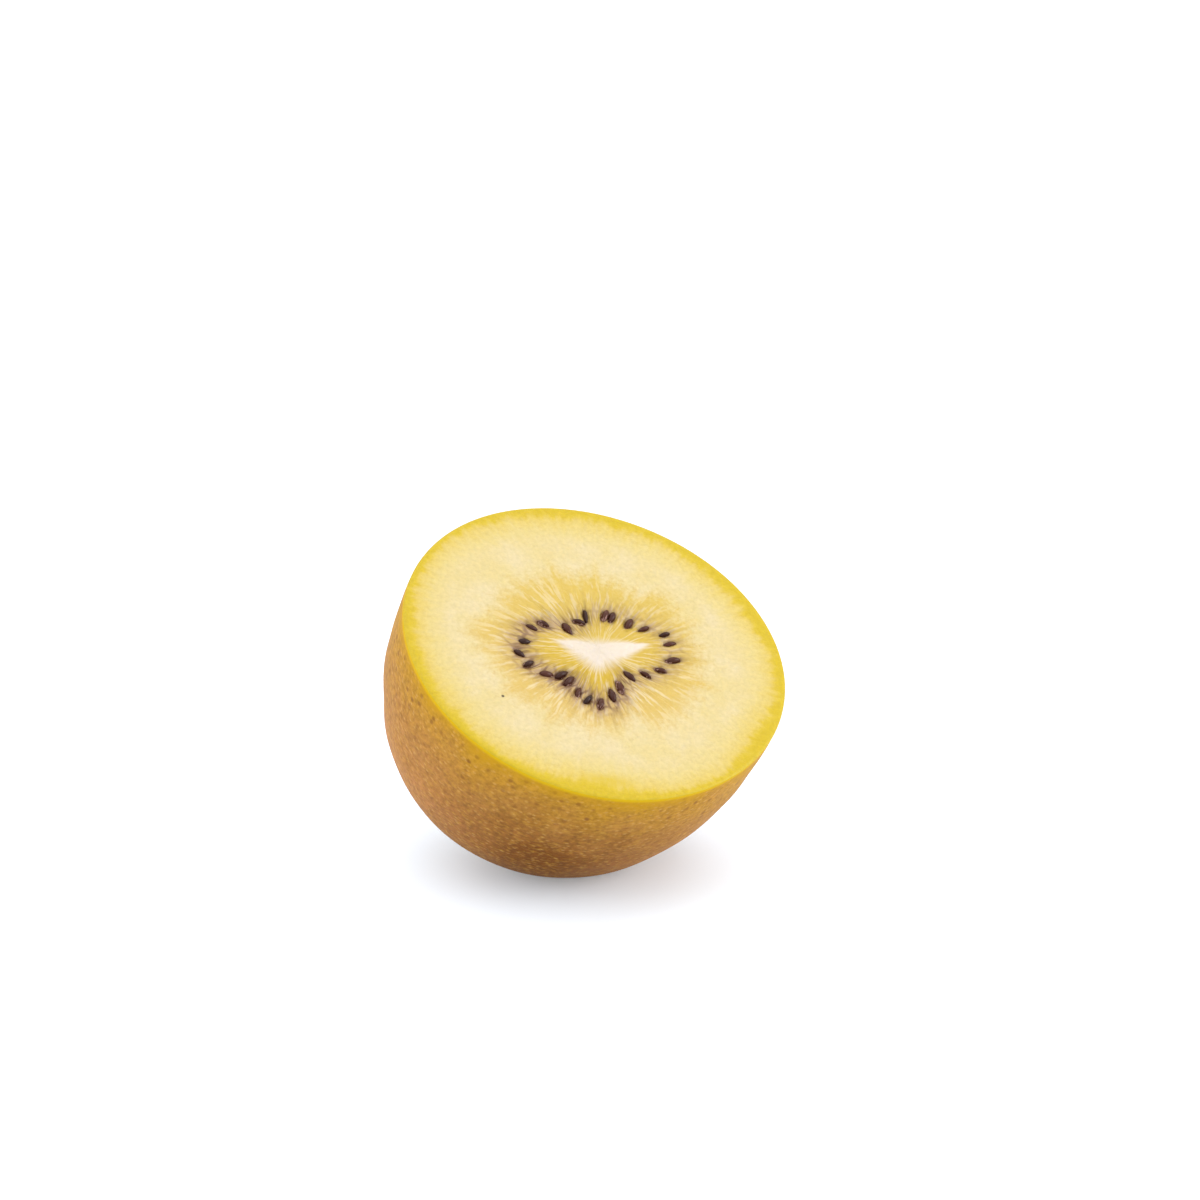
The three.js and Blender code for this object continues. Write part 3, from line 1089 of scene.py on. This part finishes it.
    def seed_pockets(self, tree: bpy.types.NodeTree, colour: bpy.types.NodeSocket, fine: bpy.types.Node,
                     grain: bpy.types.Node) -> bpy.types.NodeSocket:
        """Mauve haze along the ring, a streaked stain out from each seed, and a dark line at its foot.

        Args:
            tree: the material's node tree.
            colour: the colour that this layer goes over.
            fine: noise for the fine rays.
            grain: noise for the pulp's cells.

        Returns:
            The colour with this layer.
        """
        haze = add_node(tree, ATTRIBUTE, {"attribute_name": "ring_haze"}).outputs["Fac"]
        torn = add_node(tree, MAP_RANGE,
                        {**SMOOTH, "From Min": 0.36, "From Max": 0.6, "To Min": 0.25, "To Max": 1.0},
                        {"Value": fine.outputs["Fac"]})
        veil = add_node(tree, MATH, TIMES, {0: haze, 1: torn.outputs[0]})
        colour = add_node(tree, MIX, {**COLOURS, MIX_B: linear(self.membrane)},
                          {0: veil.outputs[0], MIX_A: colour}).outputs[MIX_RESULT]
        slit = add_node(tree, MAP_RANGE, {**SMOOTH, "From Min": 0.44, "From Max": 0.35, "To Max": 0.65},
                        {"Value": fine.outputs["Fac"]})
        dark = add_node(tree, MATH, TIMES, {0: haze, 1: slit.outputs[0]})
        colour = add_node(tree, MIX, {**COLOURS, MIX_B: linear(self.mauve)},
                          {0: dark.outputs[0], MIX_A: colour}).outputs[MIX_RESULT]
        wake = add_node(tree, ATTRIBUTE, {"attribute_name": "seed_wake"}).outputs["Fac"]
        gap = add_node(tree, ATTRIBUTE, {"attribute_name": "seed_gap"}).outputs["Fac"]
        streak = add_node(tree, MAP_RANGE,
                          {"From Min": 0.35, "From Max": 0.6, "To Min": 0.35, "To Max": 1.0},
                          {"Value": fine.outputs["Fac"]})
        stain = add_node(tree, MATH, TIMES, {0: streak.outputs[0], 1: wake})
        film = add_node(tree, MAP_RANGE, {**SMOOTH, "From Min": 0.1, "From Max": 0.7, "To Max": 0.8},
                        {"Value": stain.outputs[0]})
        colour = add_node(tree, MIX, {**COLOURS, MIX_B: linear(self.membrane)},
                          {0: film.outputs[0], MIX_A: colour}).outputs[MIX_RESULT]
        uneven = add_node(tree, MATH, {"operation": "MULTIPLY_ADD", 1: 0.5},
                          {0: grain.outputs["Fac"], 2: gap})
        foot = add_node(tree, MAP_RANGE, {**SMOOTH, "From Min": 0.5, "From Max": 0.2, "To Max": 0.85},
                        {"Value": uneven.outputs[0]})
        return add_node(tree, MIX, {**COLOURS, MIX_B: linear(self.mauve)},
                        {0: foot.outputs[0], MIX_A: colour}).outputs[MIX_RESULT]

    def pocket_walls(self, tree: bpy.types.NodeTree, colour: bpy.types.NodeSocket,
                     walls: bpy.types.Node) -> bpy.types.NodeSocket:
        """Thin dark lines between the seeds, where the walls of their pockets were cut.

        Args:
            tree: the material's node tree.
            colour: the colour that this layer goes over.
            walls: cells for the seeds' pockets.

        Returns:
            The colour with this layer.
        """
        haze = add_node(tree, ATTRIBUTE, {"attribute_name": "ring_haze"}).outputs["Fac"]
        edge = add_node(tree, MAP_RANGE, {**SMOOTH, "From Min": 0.16, "From Max": 0.03, "To Max": 0.7},
                        {"Value": walls.outputs["Distance"]})
        line = add_node(tree, MATH, TIMES, {0: haze, 1: edge.outputs[0]})
        return add_node(tree, MIX, {**COLOURS, MIX_B: linear(self.mauve)},
                        {0: line.outputs[0], MIX_A: colour}).outputs[MIX_RESULT]

    def core_over(self, tree: bpy.types.NodeTree, colour: bpy.types.NodeSocket,
                  rays: bpy.types.Node) -> bpy.types.NodeSocket:
        """The pale core over all, with soft edges.

        Args:
            tree: the material's node tree.
            colour: the colour that this layer goes over.
            rays: noise for the wide rays.

        Returns:
            The colour with this layer.
        """
        core = add_node(tree, ATTRIBUTE, {"attribute_name": "from_core"}).outputs["Fac"]
        blur = add_node(tree, MATH, {"operation": "MULTIPLY_ADD", 1: 1.8}, {0: rays.outputs["Fac"], 2: core})
        white = add_node(tree, MAP_RANGE, {**SMOOTH, "From Min": 2.0, "From Max": -0.4},
                         {"Value": blur.outputs[0]})
        return add_node(tree, MIX, {**COLOURS, MIX_B: linear(self.core)},
                        {0: white.outputs[0], MIX_A: colour}).outputs[MIX_RESULT]

    def marks(self, tree: bpy.types.NodeTree, colour: bpy.types.NodeSocket, own: bpy.types.NodeSocket,
              grain: bpy.types.Node) -> bpy.types.NodeSocket:
        """A scraped patch of deeper yellow at the near rim, and one dark speck 0.4 mm across.

        Args:
            tree: the material's node tree.
            colour: the colour that this layer goes over.
            own: places in mm in the half's own axes.
            grain: noise for the pulp's cells.

        Returns:
            The colour with this layer.
        """
        scrape = add_node(tree, ATTRIBUTE, {"attribute_name": "scrape"}).outputs["Fac"]
        patchy = add_node(tree, MATH, {"operation": "MULTIPLY", 1: 1.6}, {0: grain.outputs["Fac"]})
        shown = add_node(tree, MATH, TIMES, {0: scrape, 1: patchy.outputs[0]})
        colour = add_node(tree, MIX, {**COLOURS, MIX_B: linear(self.near_rim)},
                          {0: shown.outputs[0], MIX_A: colour}).outputs[MIX_RESULT]
        away = add_node(tree, "ShaderNodeVectorMath", {"operation": "DISTANCE", 1: self.speck_place},
                        {0: own})
        spot = add_node(tree, MAP_RANGE, {**SMOOTH, "From Min": 0.28, "From Max": 0.14, "To Max": 0.9},
                        {"Value": away.outputs["Value"]})
        return add_node(tree, MIX, {**COLOURS, MIX_B: linear(self.speck)},
                        {0: spot.outputs[0], MIX_A: colour}).outputs[MIX_RESULT]

    def surface(self, tree: bpy.types.NodeTree, colour: bpy.types.NodeSocket, grain: bpy.types.Node,
                fine: bpy.types.Node) -> None:
        """Wet shine over soft light-spreading pulp, wetter round the seeds, with a bump of cells and rays.

        Args:
            tree: the material's node tree.
            colour: the colour that this layer goes over.
            grain: noise for the pulp's cells.
            fine: noise for the fine rays.
        """
        star = add_node(tree, ATTRIBUTE, {"attribute_name": "from_star"}).outputs["Fac"]
        cells = add_node(tree, "ShaderNodeBump", {"Strength": 0.5, "Distance": 0.0003},
                         {"Height": grain.outputs["Fac"]})
        wet = add_node(tree, MAP_RANGE,
                       {**SMOOTH, "From Min": 0.0, "From Max": -7.0, "To Min": 0.04, "To Max": 0.4},
                       {"Value": star})
        ribs = add_node(tree, "ShaderNodeBump", {"Distance": 0.00025},
                        {"Strength": wet.outputs[0], "Height": fine.outputs["Fac"],
                         "Normal": cells.outputs[0]})
        shine = add_node(tree, MAP_RANGE,
                         {"From Min": -7.0, "From Max": 1.0, "To Min": self.roughness - 0.14,
                          "To Max": self.roughness + 0.06}, {"Value": star})
        pulp = add_node(tree, "ShaderNodeBsdfPrincipled",
                        {"IOR": self.ior, "Subsurface Weight": 0.3, "Subsurface Scale": self.spread_mm * MM,
                         "Subsurface Radius": (1.0, 0.75, 0.35)},
                        {"Base Color": colour, "Roughness": shine.outputs[0], "Normal": ribs.outputs[0]})
        add_node(tree, "ShaderNodeOutputMaterial", {}, {"Surface": pulp.outputs[0]})


@dataclass(frozen=True)
class FruitSkinFinish:
    """Golden kiwi skin: thin, dry and dull, with fuzz too short to see, pale corky dots and darker pores."""

    name: str = "golden kiwi skin"
    near_cut: str = "#A37622"
    tan: str = "#9E6E34"
    brown: str = "#A87240"
    dark: str = "#8E5B1A"
    # Deep brown for the painted shade on one side of the skin
    painted_shade: str = "#6A3C0C"
    light: str = "#B48634"
    olive: str = "#BC9A0A"
    golden: str = "#AC800C"
    dot: str = "#C2944E"
    pore: str = "#6B3F1C"
    pit: str = "#24150C"
    scar: str = "#4A2F18"
    cork: str = "#8A6A45"
    disc: str = "#6B4624"
    roughness: float = 0.6
    ior: float = 1.45
    shine_level: float = 0.05
    fuzz: str = "#FFE2B4"
    fuzz_weight: float = 0.05
    fuzz_roughness: float = 0.4
    dot_apart_mm: float = 1.0
    pore_apart_mm: float = 1.8

    def material(self) -> bpy.types.Material:
        """Builds the skin's node tree from the fields that the half keeps.

        Returns:
            The material.
        """
        made, tree = start_material(self.name)
        own = add_node(tree, ATTRIBUTE, {"attribute_name": "own_mm"}).outputs["Vector"]
        # Short dashes round the fruit: 1.0 mm long and 0.5 mm wide
        dash_place = add_node(tree, "ShaderNodeMapping", {"vector_type": "POINT", "Scale": (1.0, 1.0, 1.9)},
                              {"Vector": own})
        dashes = add_node(tree, NOISE, {"Scale": 1.0, "Detail": 3.0, "Roughness": 0.6},
                          {"Vector": dash_place.outputs[0]})
        cloud = add_node(tree, NOISE, {"Scale": 0.13, "Detail": 5.0, "Roughness": 0.6}, {"Vector": own})
        # Pale dots, slightly longer round the fruit than down it
        dot_place = add_node(tree, "ShaderNodeMapping", {"Scale": (0.95, 0.95, 1.25)}, {"Vector": own})
        dots = add_node(tree, "ShaderNodeTexVoronoi", {"Scale": 1 / self.dot_apart_mm, "Randomness": 1.0},
                        {"Vector": dot_place.outputs[0]})
        pores = add_node(tree, "ShaderNodeTexVoronoi", {"Scale": 1 / self.pore_apart_mm, "Randomness": 1.0},
                         {"Vector": own})
        # Leathery mottling in grains of about 0.8 mm
        mottle = add_node(tree, NOISE, {"Scale": 1.25, "Detail": 4.0, "Roughness": 0.7}, {"Vector": own})
        colour = self.ground(tree, cloud, dashes, mottle)
        colour = self.marked(tree, colour, dots, pores, cloud)
        colour = self.ends(tree, colour, cloud)
        colour = self.stem_scar(tree, colour, mottle)
        self.surface(tree, colour, dashes, dots)
        return made

    def ground(self, tree: bpy.types.NodeTree, cloud: bpy.types.Node, dashes: bpy.types.Node,
               mottle: bpy.types.Node) -> bpy.types.NodeSocket:
        """Golden tan, browner towards the stem end, with painted shade on one side, mottled and with paler
        dashes.

        Args:
            tree: the material's node tree.
            cloud: noise for wide clouds.
            dashes: noise for short dashes.
            mottle: noise for the leathery mottling.

        Returns:
            The colour.
        """
        below = add_node(tree, ATTRIBUTE, {"attribute_name": "below_cut"}).outputs["Fac"]
        drift = add_node(tree, MATH, {"operation": "MULTIPLY_ADD", 1: 0.5, 2: -0.25},
                         {0: cloud.outputs["Fac"]})
        share = add_node(tree, MATH, {"operation": "MULTIPLY_ADD", 1: 1 / 36},
                         {0: below, 2: drift.outputs[0]})
        ramp = add_node(tree, "ShaderNodeValToRGB", {}, {"Fac": share.outputs[0]})
        stops = ((0.08, self.near_cut), (0.3, self.tan), (0.6, self.brown), (0.9, self.dark))
        set_stops(ramp, stops)
        # Painted shade: deep brown over one side of the skin, low down
        painted_shade = add_node(tree, ATTRIBUTE, {"attribute_name": "painted_shade"}).outputs["Fac"]
        colour = add_node(tree, MIX, {**COLOURS, MIX_B: linear(self.painted_shade)},
                          {0: painted_shade, MIX_A: ramp.outputs["Color"]}).outputs[MIX_RESULT]
        grainy = add_node(tree, MAP_RANGE,
                          {"From Min": 0.35, "From Max": 0.65, "To Min": 0.76, "To Max": 1.18},
                          {"Value": mottle.outputs["Fac"]})
        colour = add_node(tree, MIX, {**COLOURS, "blend_type": "MULTIPLY", 0: 1.0},
                          {MIX_A: colour, MIX_B: grainy.outputs[0]}).outputs[MIX_RESULT]
        pale = add_node(tree, MAP_RANGE, {"From Min": 0.5, "From Max": 0.72, "To Max": 0.5},
                        {"Value": dashes.outputs["Fac"]})
        return add_node(tree, MIX, {**COLOURS, MIX_B: linear(self.light)},
                        {0: pale.outputs[0], MIX_A: colour}).outputs[MIX_RESULT]

    def marked(self, tree: bpy.types.NodeTree, colour: bpy.types.NodeSocket, dots: bpy.types.Node,
               pores: bpy.types.Node, cloud: bpy.types.Node) -> bpy.types.NodeSocket:
        """Soft pale dots about 0.5 mm across, and fewer dark pores, in drifts and most near the cut.

        Args:
            tree: the material's node tree.
            colour: the colour that this layer goes over.
            dots: cells for the pale dots.
            pores: cells for the dark pores.
            cloud: noise for wide clouds.

        Returns:
            The colour with this layer.
        """
        # The pale dots grow fainter under the painted shade
        painted_shade = add_node(tree, ATTRIBUTE, {"attribute_name": "painted_shade"}).outputs["Fac"]
        faint = add_node(tree, MAP_RANGE, {"To Min": 0.38, "To Max": 0.28}, {"Value": painted_shade})
        dot = add_node(tree, MAP_RANGE, {**SMOOTH, "From Min": 0.42, "From Max": 0.1},
                       {"Value": dots.outputs["Distance"], "To Max": faint.outputs[0]})
        colour = add_node(tree, MIX, {**COLOURS, MIX_B: linear(self.dot)},
                          {0: dot.outputs[0], MIX_A: colour}).outputs[MIX_RESULT]
        below = add_node(tree, ATTRIBUTE, {"attribute_name": "below_cut"}).outputs["Fac"]
        near = add_node(tree, MAP_RANGE, {"From Min": 2.0, "From Max": 12.0, "To Min": 0.8, "To Max": 0.35},
                        {"Value": below})
        drifts = add_node(tree, MAP_RANGE,
                          {"From Min": 0.45, "From Max": 0.7, "To Min": 1.0, "To Max": 0.3},
                          {"Value": cloud.outputs["Fac"]})
        shown = add_node(tree, MATH, TIMES, {0: near.outputs[0], 1: drifts.outputs[0]})
        pore = add_node(tree, MAP_RANGE, {**SMOOTH, "From Min": 0.3, "From Max": 0.1},
                        {"Value": pores.outputs["Distance"]})
        dark = add_node(tree, MATH, TIMES, {0: pore.outputs[0], 1: shown.outputs[0]})
        return add_node(tree, MIX, {**COLOURS, MIX_B: linear(self.pore)},
                        {0: dark.outputs[0], MIX_A: colour}).outputs[MIX_RESULT]

    def ends(self, tree: bpy.types.NodeTree, colour: bpy.types.NodeSocket,
             cloud: bpy.types.Node) -> bpy.types.NodeSocket:
        """Golden patches and an olive line where thin skin meets the cut.

        Args:
            tree: the material's node tree.
            colour: the colour that this layer goes over.
            cloud: noise for wide clouds.

        Returns:
            The colour with this layer.
        """
        below = add_node(tree, ATTRIBUTE, {"attribute_name": "below_cut"}).outputs["Fac"]
        patchy = add_node(tree, MATH, {"operation": "MULTIPLY_ADD", 1: 7.0},
                          {0: cloud.outputs["Fac"], 2: below})
        glow = add_node(tree, MAP_RANGE, {**SMOOTH, "From Min": 7.0, "From Max": 3.4, "To Max": 0.85},
                        {"Value": patchy.outputs[0]})
        colour = add_node(tree, MIX, {**COLOURS, MIX_B: linear(self.golden)},
                          {0: glow.outputs[0], MIX_A: colour}).outputs[MIX_RESULT]
        line = add_node(tree, MAP_RANGE, {**SMOOTH, "From Min": 1.0, "From Max": 0.45, "To Max": 0.8},
                        {"Value": below})
        return add_node(tree, MIX, {**COLOURS, MIX_B: linear(self.olive)},
                        {0: line.outputs[0], MIX_A: colour}).outputs[MIX_RESULT]

    def stem_scar(self, tree: bpy.types.NodeTree, colour: bpy.types.NodeSocket,
                  mottle: bpy.types.Node) -> bpy.types.NodeSocket:
        """The stem end outwards: dark pit, paler corky collar and a rough disc with a ragged edge.

        Args:
            tree: the material's node tree.
            colour: the colour that this layer goes over.
            mottle: noise for the leathery mottling.

        Returns:
            The colour with this layer.
        """
        stem = add_node(tree, ATTRIBUTE, {"attribute_name": "from_stem"}).outputs["Fac"]
        ragged = add_node(tree, MATH, {"operation": "MULTIPLY_ADD", 1: 5.0},
                          {0: mottle.outputs["Fac"], 2: stem})
        share = add_node(tree, MATH, {"operation": "MULTIPLY_ADD", 1: 0.1, 2: -0.25},
                         {0: ragged.outputs[0]})
        ramp = add_node(tree, "ShaderNodeValToRGB", {}, {"Fac": share.outputs[0]})
        # The ramp runs over the first 10 mm from the middle of the stem end
        stops = ((0.1, self.pit), (0.24, self.scar), (0.38, self.cork), (0.5, self.scar), (0.8, self.disc))
        set_stops(ramp, stops)
        covered = add_node(tree, MAP_RANGE, {**SMOOTH, "From Min": 12.2, "From Max": 9.6, "To Max": 0.9},
                           {"Value": ragged.outputs[0]})
        return add_node(tree, MIX, COLOURS,
                        {0: covered.outputs[0], MIX_A: colour,
                         MIX_B: ramp.outputs["Color"]}).outputs[MIX_RESULT]

    def surface(self, tree: bpy.types.NodeTree, colour: bpy.types.NodeSocket, dashes: bpy.types.Node,
                dots: bpy.types.Node) -> None:
        """Dry skin with fine leathery relief, raised dots, and short fuzz that pales it at its edges.

        Args:
            tree: the material's node tree.
            colour: the colour that this layer goes over.
            dashes: noise for short dashes.
            dots: cells for the pale dots.
        """
        leather = add_node(tree, "ShaderNodeBump", {"Strength": 0.5, "Distance": 0.0002},
                           {"Height": dashes.outputs["Fac"]})
        raised = add_node(tree, MAP_RANGE, {**SMOOTH, "From Min": 0.3, "From Max": 0.06},
                          {"Value": dots.outputs["Distance"]})
        bumps = add_node(tree, "ShaderNodeBump", {"Strength": 0.4, "Distance": 0.00012},
                         {"Height": raised.outputs[0], "Normal": leather.outputs[0]})
        skin = add_node(tree, "ShaderNodeBsdfPrincipled",
                        {"IOR": self.ior, "Roughness": self.roughness,
                         "Specular IOR Level": self.shine_level, "Sheen Weight": self.fuzz_weight,
                         "Sheen Roughness": self.fuzz_roughness, "Sheen Tint": linear(self.fuzz)},
                        {"Base Color": colour, "Normal": bumps.outputs[0]})
        add_node(tree, "ShaderNodeOutputMaterial", {}, {"Surface": skin.outputs[0]})


@dataclass(frozen=True)
class SeedCoatFinish:
    """Kiwi seed coat: hard, smooth and dark maroon, wet from the pulp, so it has small sharp highlights."""

    name: str = "wet kiwi seed coat"
    dark: str = "#240D07"
    warm: str = "#421E10"
    film: str = "#9C7C72"
    roughness: float = 0.25
    ior: float = 1.5
    shine_level: float = 0.22

    def material(self) -> bpy.types.Material:
        """Builds the seed coat's node tree: as warm as the seed's shade, with a streaked film and fine pits.

        Returns:
            The material.
        """
        made, tree = start_material(self.name)
        place = add_node(tree, ATTRIBUTE, {"attribute_name": "seed_mm"}).outputs["Vector"]
        shade = add_node(tree, ATTRIBUTE, {"attribute_name": "shade"}).outputs["Fac"]
        height = add_node(tree, ATTRIBUTE, {"attribute_name": "seed_height"}).outputs["Fac"]
        # The film lies in streaks along the seed, about 0.8 mm long and 0.2 mm wide
        stretched = add_node(tree, "ShaderNodeMapping", {"Scale": (1.2, 4.5, 1.5)}, {"Vector": place})
        streak = add_node(tree, NOISE, {"Scale": 1.0, "Detail": 3.0, "Roughness": 0.6},
                          {"Vector": stretched.outputs[0]})
        coat = add_node(tree, MIX, {**COLOURS, MIX_A: linear(self.dark), MIX_B: linear(self.warm)},
                        {0: shade})
        # The film reaches from the pulp's level up to about 0.2 mm over it, higher on the warmer seeds
        clear = add_node(tree, MATH, {"operation": "MULTIPLY_ADD", 1: 0.4},
                         {0: height, 2: streak.outputs["Fac"]})
        more = add_node(tree, MATH, {"operation": "MULTIPLY_ADD", 1: -0.2}, {0: shade, 2: clear.outputs[0]})
        covered = add_node(tree, MAP_RANGE, {**SMOOTH, "From Min": 0.53, "From Max": 0.44, "To Max": 0.8},
                           {"Value": more.outputs[0]})
        colour = add_node(tree, MIX, {**COLOURS, MIX_B: linear(self.film)},
                          {0: covered.outputs[0], MIX_A: coat.outputs[MIX_RESULT]})
        pits = add_node(tree, "ShaderNodeTexVoronoi", {"Scale": 6.0}, {"Vector": place})
        bump = add_node(tree, "ShaderNodeBump", {"Strength": 0.25, "Distance": 0.00006},
                        {"Height": pits.outputs["Distance"]})
        shell = add_node(tree, "ShaderNodeBsdfPrincipled",
                         {"IOR": self.ior, "Roughness": self.roughness,
                          "Specular IOR Level": self.shine_level},
                         {"Base Color": colour.outputs[MIX_RESULT], "Normal": bump.outputs[0]})
        add_node(tree, "ShaderNodeOutputMaterial", {}, {"Surface": shell.outputs[0]})
        return made


@dataclass(frozen=True)
class StudioFloorFinish:
    """Matt opal acrylic of a light table: a faint glow from below keeps the fruit's shadow soft and pale."""

    name: str = "matt opal acrylic of a light table"
    opal: str = "#D7DFE8"
    glow: str = "#FAFDFF"
    glow_strength: float = 0.21
    roughness: float = 0.9
    shine_level: float = 0.1

    def material(self) -> bpy.types.Material:
        """Builds the acrylic's node tree.

        Returns:
            The material.
        """
        made, tree = start_material(self.name)
        opal = add_node(tree, "ShaderNodeBsdfPrincipled",
                        {"Base Color": linear(self.opal), "Roughness": self.roughness,
                         "Specular IOR Level": self.shine_level, "Emission Color": linear(self.glow),
                         "Emission Strength": self.glow_strength})
        add_node(tree, "ShaderNodeOutputMaterial", {}, {"Surface": opal.outputs[0]})
        return made


@dataclass
class SeedPiece:
    """All seeds as one piece."""

    shape: FruitShape
    ring: SeedRing
    apart: float = 7.0

    def build(self) -> bpy.types.Object:
        """Makes every seed's closed grid, lays them down with the half and keeps their places and shades.

        Returns:
            The piece's object.
        """
        rows = self.ring.rows - 2
        own, local, heights, shades, faces = [], [], [], [], []
        for number, grain in enumerate(self.ring.grains):
            grid = self.ring.surface(grain)
            points = np.concatenate([grid[0, :1], grid[1:-1].reshape(-1, 3), grid[-1, :1]])
            faces += grid_faces(rows, self.ring.sides, number * len(points))
            own.append(self.ring.sink(grain, points))
            local.append(points + [0.0, 0.0, number * self.apart])
            heights.append(points[:, 2] + grain.thickness / 2 - grain.stands)
            shades.append(np.full(len(points), to_share(grain.shade)))
        piece = make_mesh("kiwi_seeds", self.shape.lay_down(np.concatenate(own)), faces)
        store(piece, "seed_mm", np.concatenate(local))
        store(piece, "seed_height", np.concatenate(heights))
        store(piece, "shade", np.concatenate(shades))
        return piece


@dataclass(frozen=True)
class SoftBox:
    """One square studio light: its place and aim in metres, its side and its power."""

    name: str
    place: tuple[float, float, float]
    side: float
    power: float
    aim: tuple[float, float, float] = (0.0, 0.0, 0.02)

    def build(self) -> None:
        """Adds the light to the scene, turned to its aim."""
        lamp = bpy.data.lights.new(self.name, "AREA")
        lamp.shape = "SQUARE"
        lamp.size = self.side
        lamp.energy = self.power
        light = bpy.data.objects.new(self.name, lamp)
        light.location = self.place
        light.rotation_euler = (Vector(self.aim) - Vector(self.place)).to_track_quat("-Z", "Y").to_euler()
        bpy.context.scene.collection.objects.link(light)


@dataclass
class Studio:
    """Pale floor, soft lights and the camera at the photograph's viewing angle."""

    shape: FruitShape
    floor_side: float = 8.0
    floor_gap: float = 0.0002
    elevation: float = 20.0
    distance_mm: float = 600.0
    frame_mm: float = 164.4
    face_below_middle_mm: float = 6.8
    face_left_of_middle_mm: float = 0.5
    sensor_mm: float = 36.0
    ambient: float = 1.0
    ambient_front: float = 1.34
    boxes: tuple[SoftBox, ...] = (
        SoftBox("overhead softbox", (-0.1, 0.0, 1.4), 2.4, 21.0),
        SoftBox("left softbox", (-1.2, -0.2, 0.42), 1.0, 5.6),
        SoftBox("right softbox", (1.2, -0.2, 0.36), 1.0, 12.5),
    )

    def build(self) -> None:
        """Makes the floor, the lights, the pale surroundings and the camera."""
        self.build_floor()
        for box in self.boxes:
            box.build()
        self.build_surroundings()
        self.build_camera()
        bpy.context.scene.view_settings.view_transform = "Standard"

    def build_floor(self) -> None:
        """A wide flat sheet just under the rest spot."""
        reach = self.floor_side / 2
        corners = np.array([[-reach, -reach], [reach, -reach], [reach, reach], [-reach, reach]])
        points = np.column_stack([corners, np.full(4, -self.floor_gap)])
        floor = make_mesh("studio_floor", points, [[0, 1, 2, 3]])
        floor.data.materials.append(StudioFloorFinish().material())

    def build_surroundings(self) -> None:
        """Pale light from all round, as a white room gives, and brighter from the camera's side."""
        world = bpy.data.worlds.new("white room")
        world.use_nodes = True
        tree = world.node_tree
        way = add_node(tree, "ShaderNodeTexCoord").outputs["Generated"]
        parts = add_node(tree, "ShaderNodeSeparateXYZ", {}, {0: way})
        light = add_node(tree, MAP_RANGE,
                         {**SMOOTH, "From Min": -0.95, "From Max": 0.0, "To Min": self.ambient_front,
                          "To Max": self.ambient}, {"Value": parts.outputs["Y"]})
        background = tree.nodes["Background"]
        background.inputs["Color"].default_value = (1.0, 1.0, 1.0, 1.0)
        tree.links.new(light.outputs[0], background.inputs["Strength"])
        bpy.context.scene.world = world

    def build_camera(self) -> None:
        """Camera that looks along +Y and down, aimed so that the face sits below the picture's middle."""
        tilt = math.radians(self.elevation)
        back = Vector((0.0, -math.cos(tilt), math.sin(tilt)))
        up = Vector((0.0, math.sin(tilt), math.cos(tilt)))
        face = Vector(self.shape.face_place) * MM
        aside = Vector((self.face_left_of_middle_mm * MM, 0.0, 0.0))
        aim = face + up * self.face_below_middle_mm * MM + aside
        data = bpy.data.cameras.new("studio camera")
        data.sensor_width = self.sensor_mm
        data.lens = self.sensor_mm * self.distance_mm / self.frame_mm
        camera = bpy.data.objects.new("studio camera", data)
        camera.location = aim + back * self.distance_mm * MM
        camera.rotation_euler = (-back).to_track_quat("-Z", "Y").to_euler()
        bpy.context.scene.collection.objects.link(camera)
        bpy.context.scene.camera = camera


def declare(piece: bpy.types.Object) -> None:
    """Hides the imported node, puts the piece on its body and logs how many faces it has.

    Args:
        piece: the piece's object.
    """
    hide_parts(NODE)
    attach(piece, BODY)
    LOG.info("built %s with %d faces", piece.name, len(piece.data.polygons))


def main() -> None:
    """Builds the studio, the half and its seeds, dresses them and reports each piece."""
    logging.basicConfig(level=logging.INFO, format="%(name)s: %(message)s")
    shape = FruitShape()
    heart = HeartShape()
    seeds = SeedRing(heart)
    seeds.settle()
    Studio(shape).build()
    half = HalfFruit(shape, heart, seeds, StemEnd()).build()
    for finish in (CutFleshFinish(), FruitSkinFinish()):
        half.data.materials.append(finish.material())
    declare(half)
    grains = SeedPiece(shape, seeds).build()
    grains.data.materials.append(SeedCoatFinish().material())
    declare(grains)


if __name__ == "__main__":
    main()
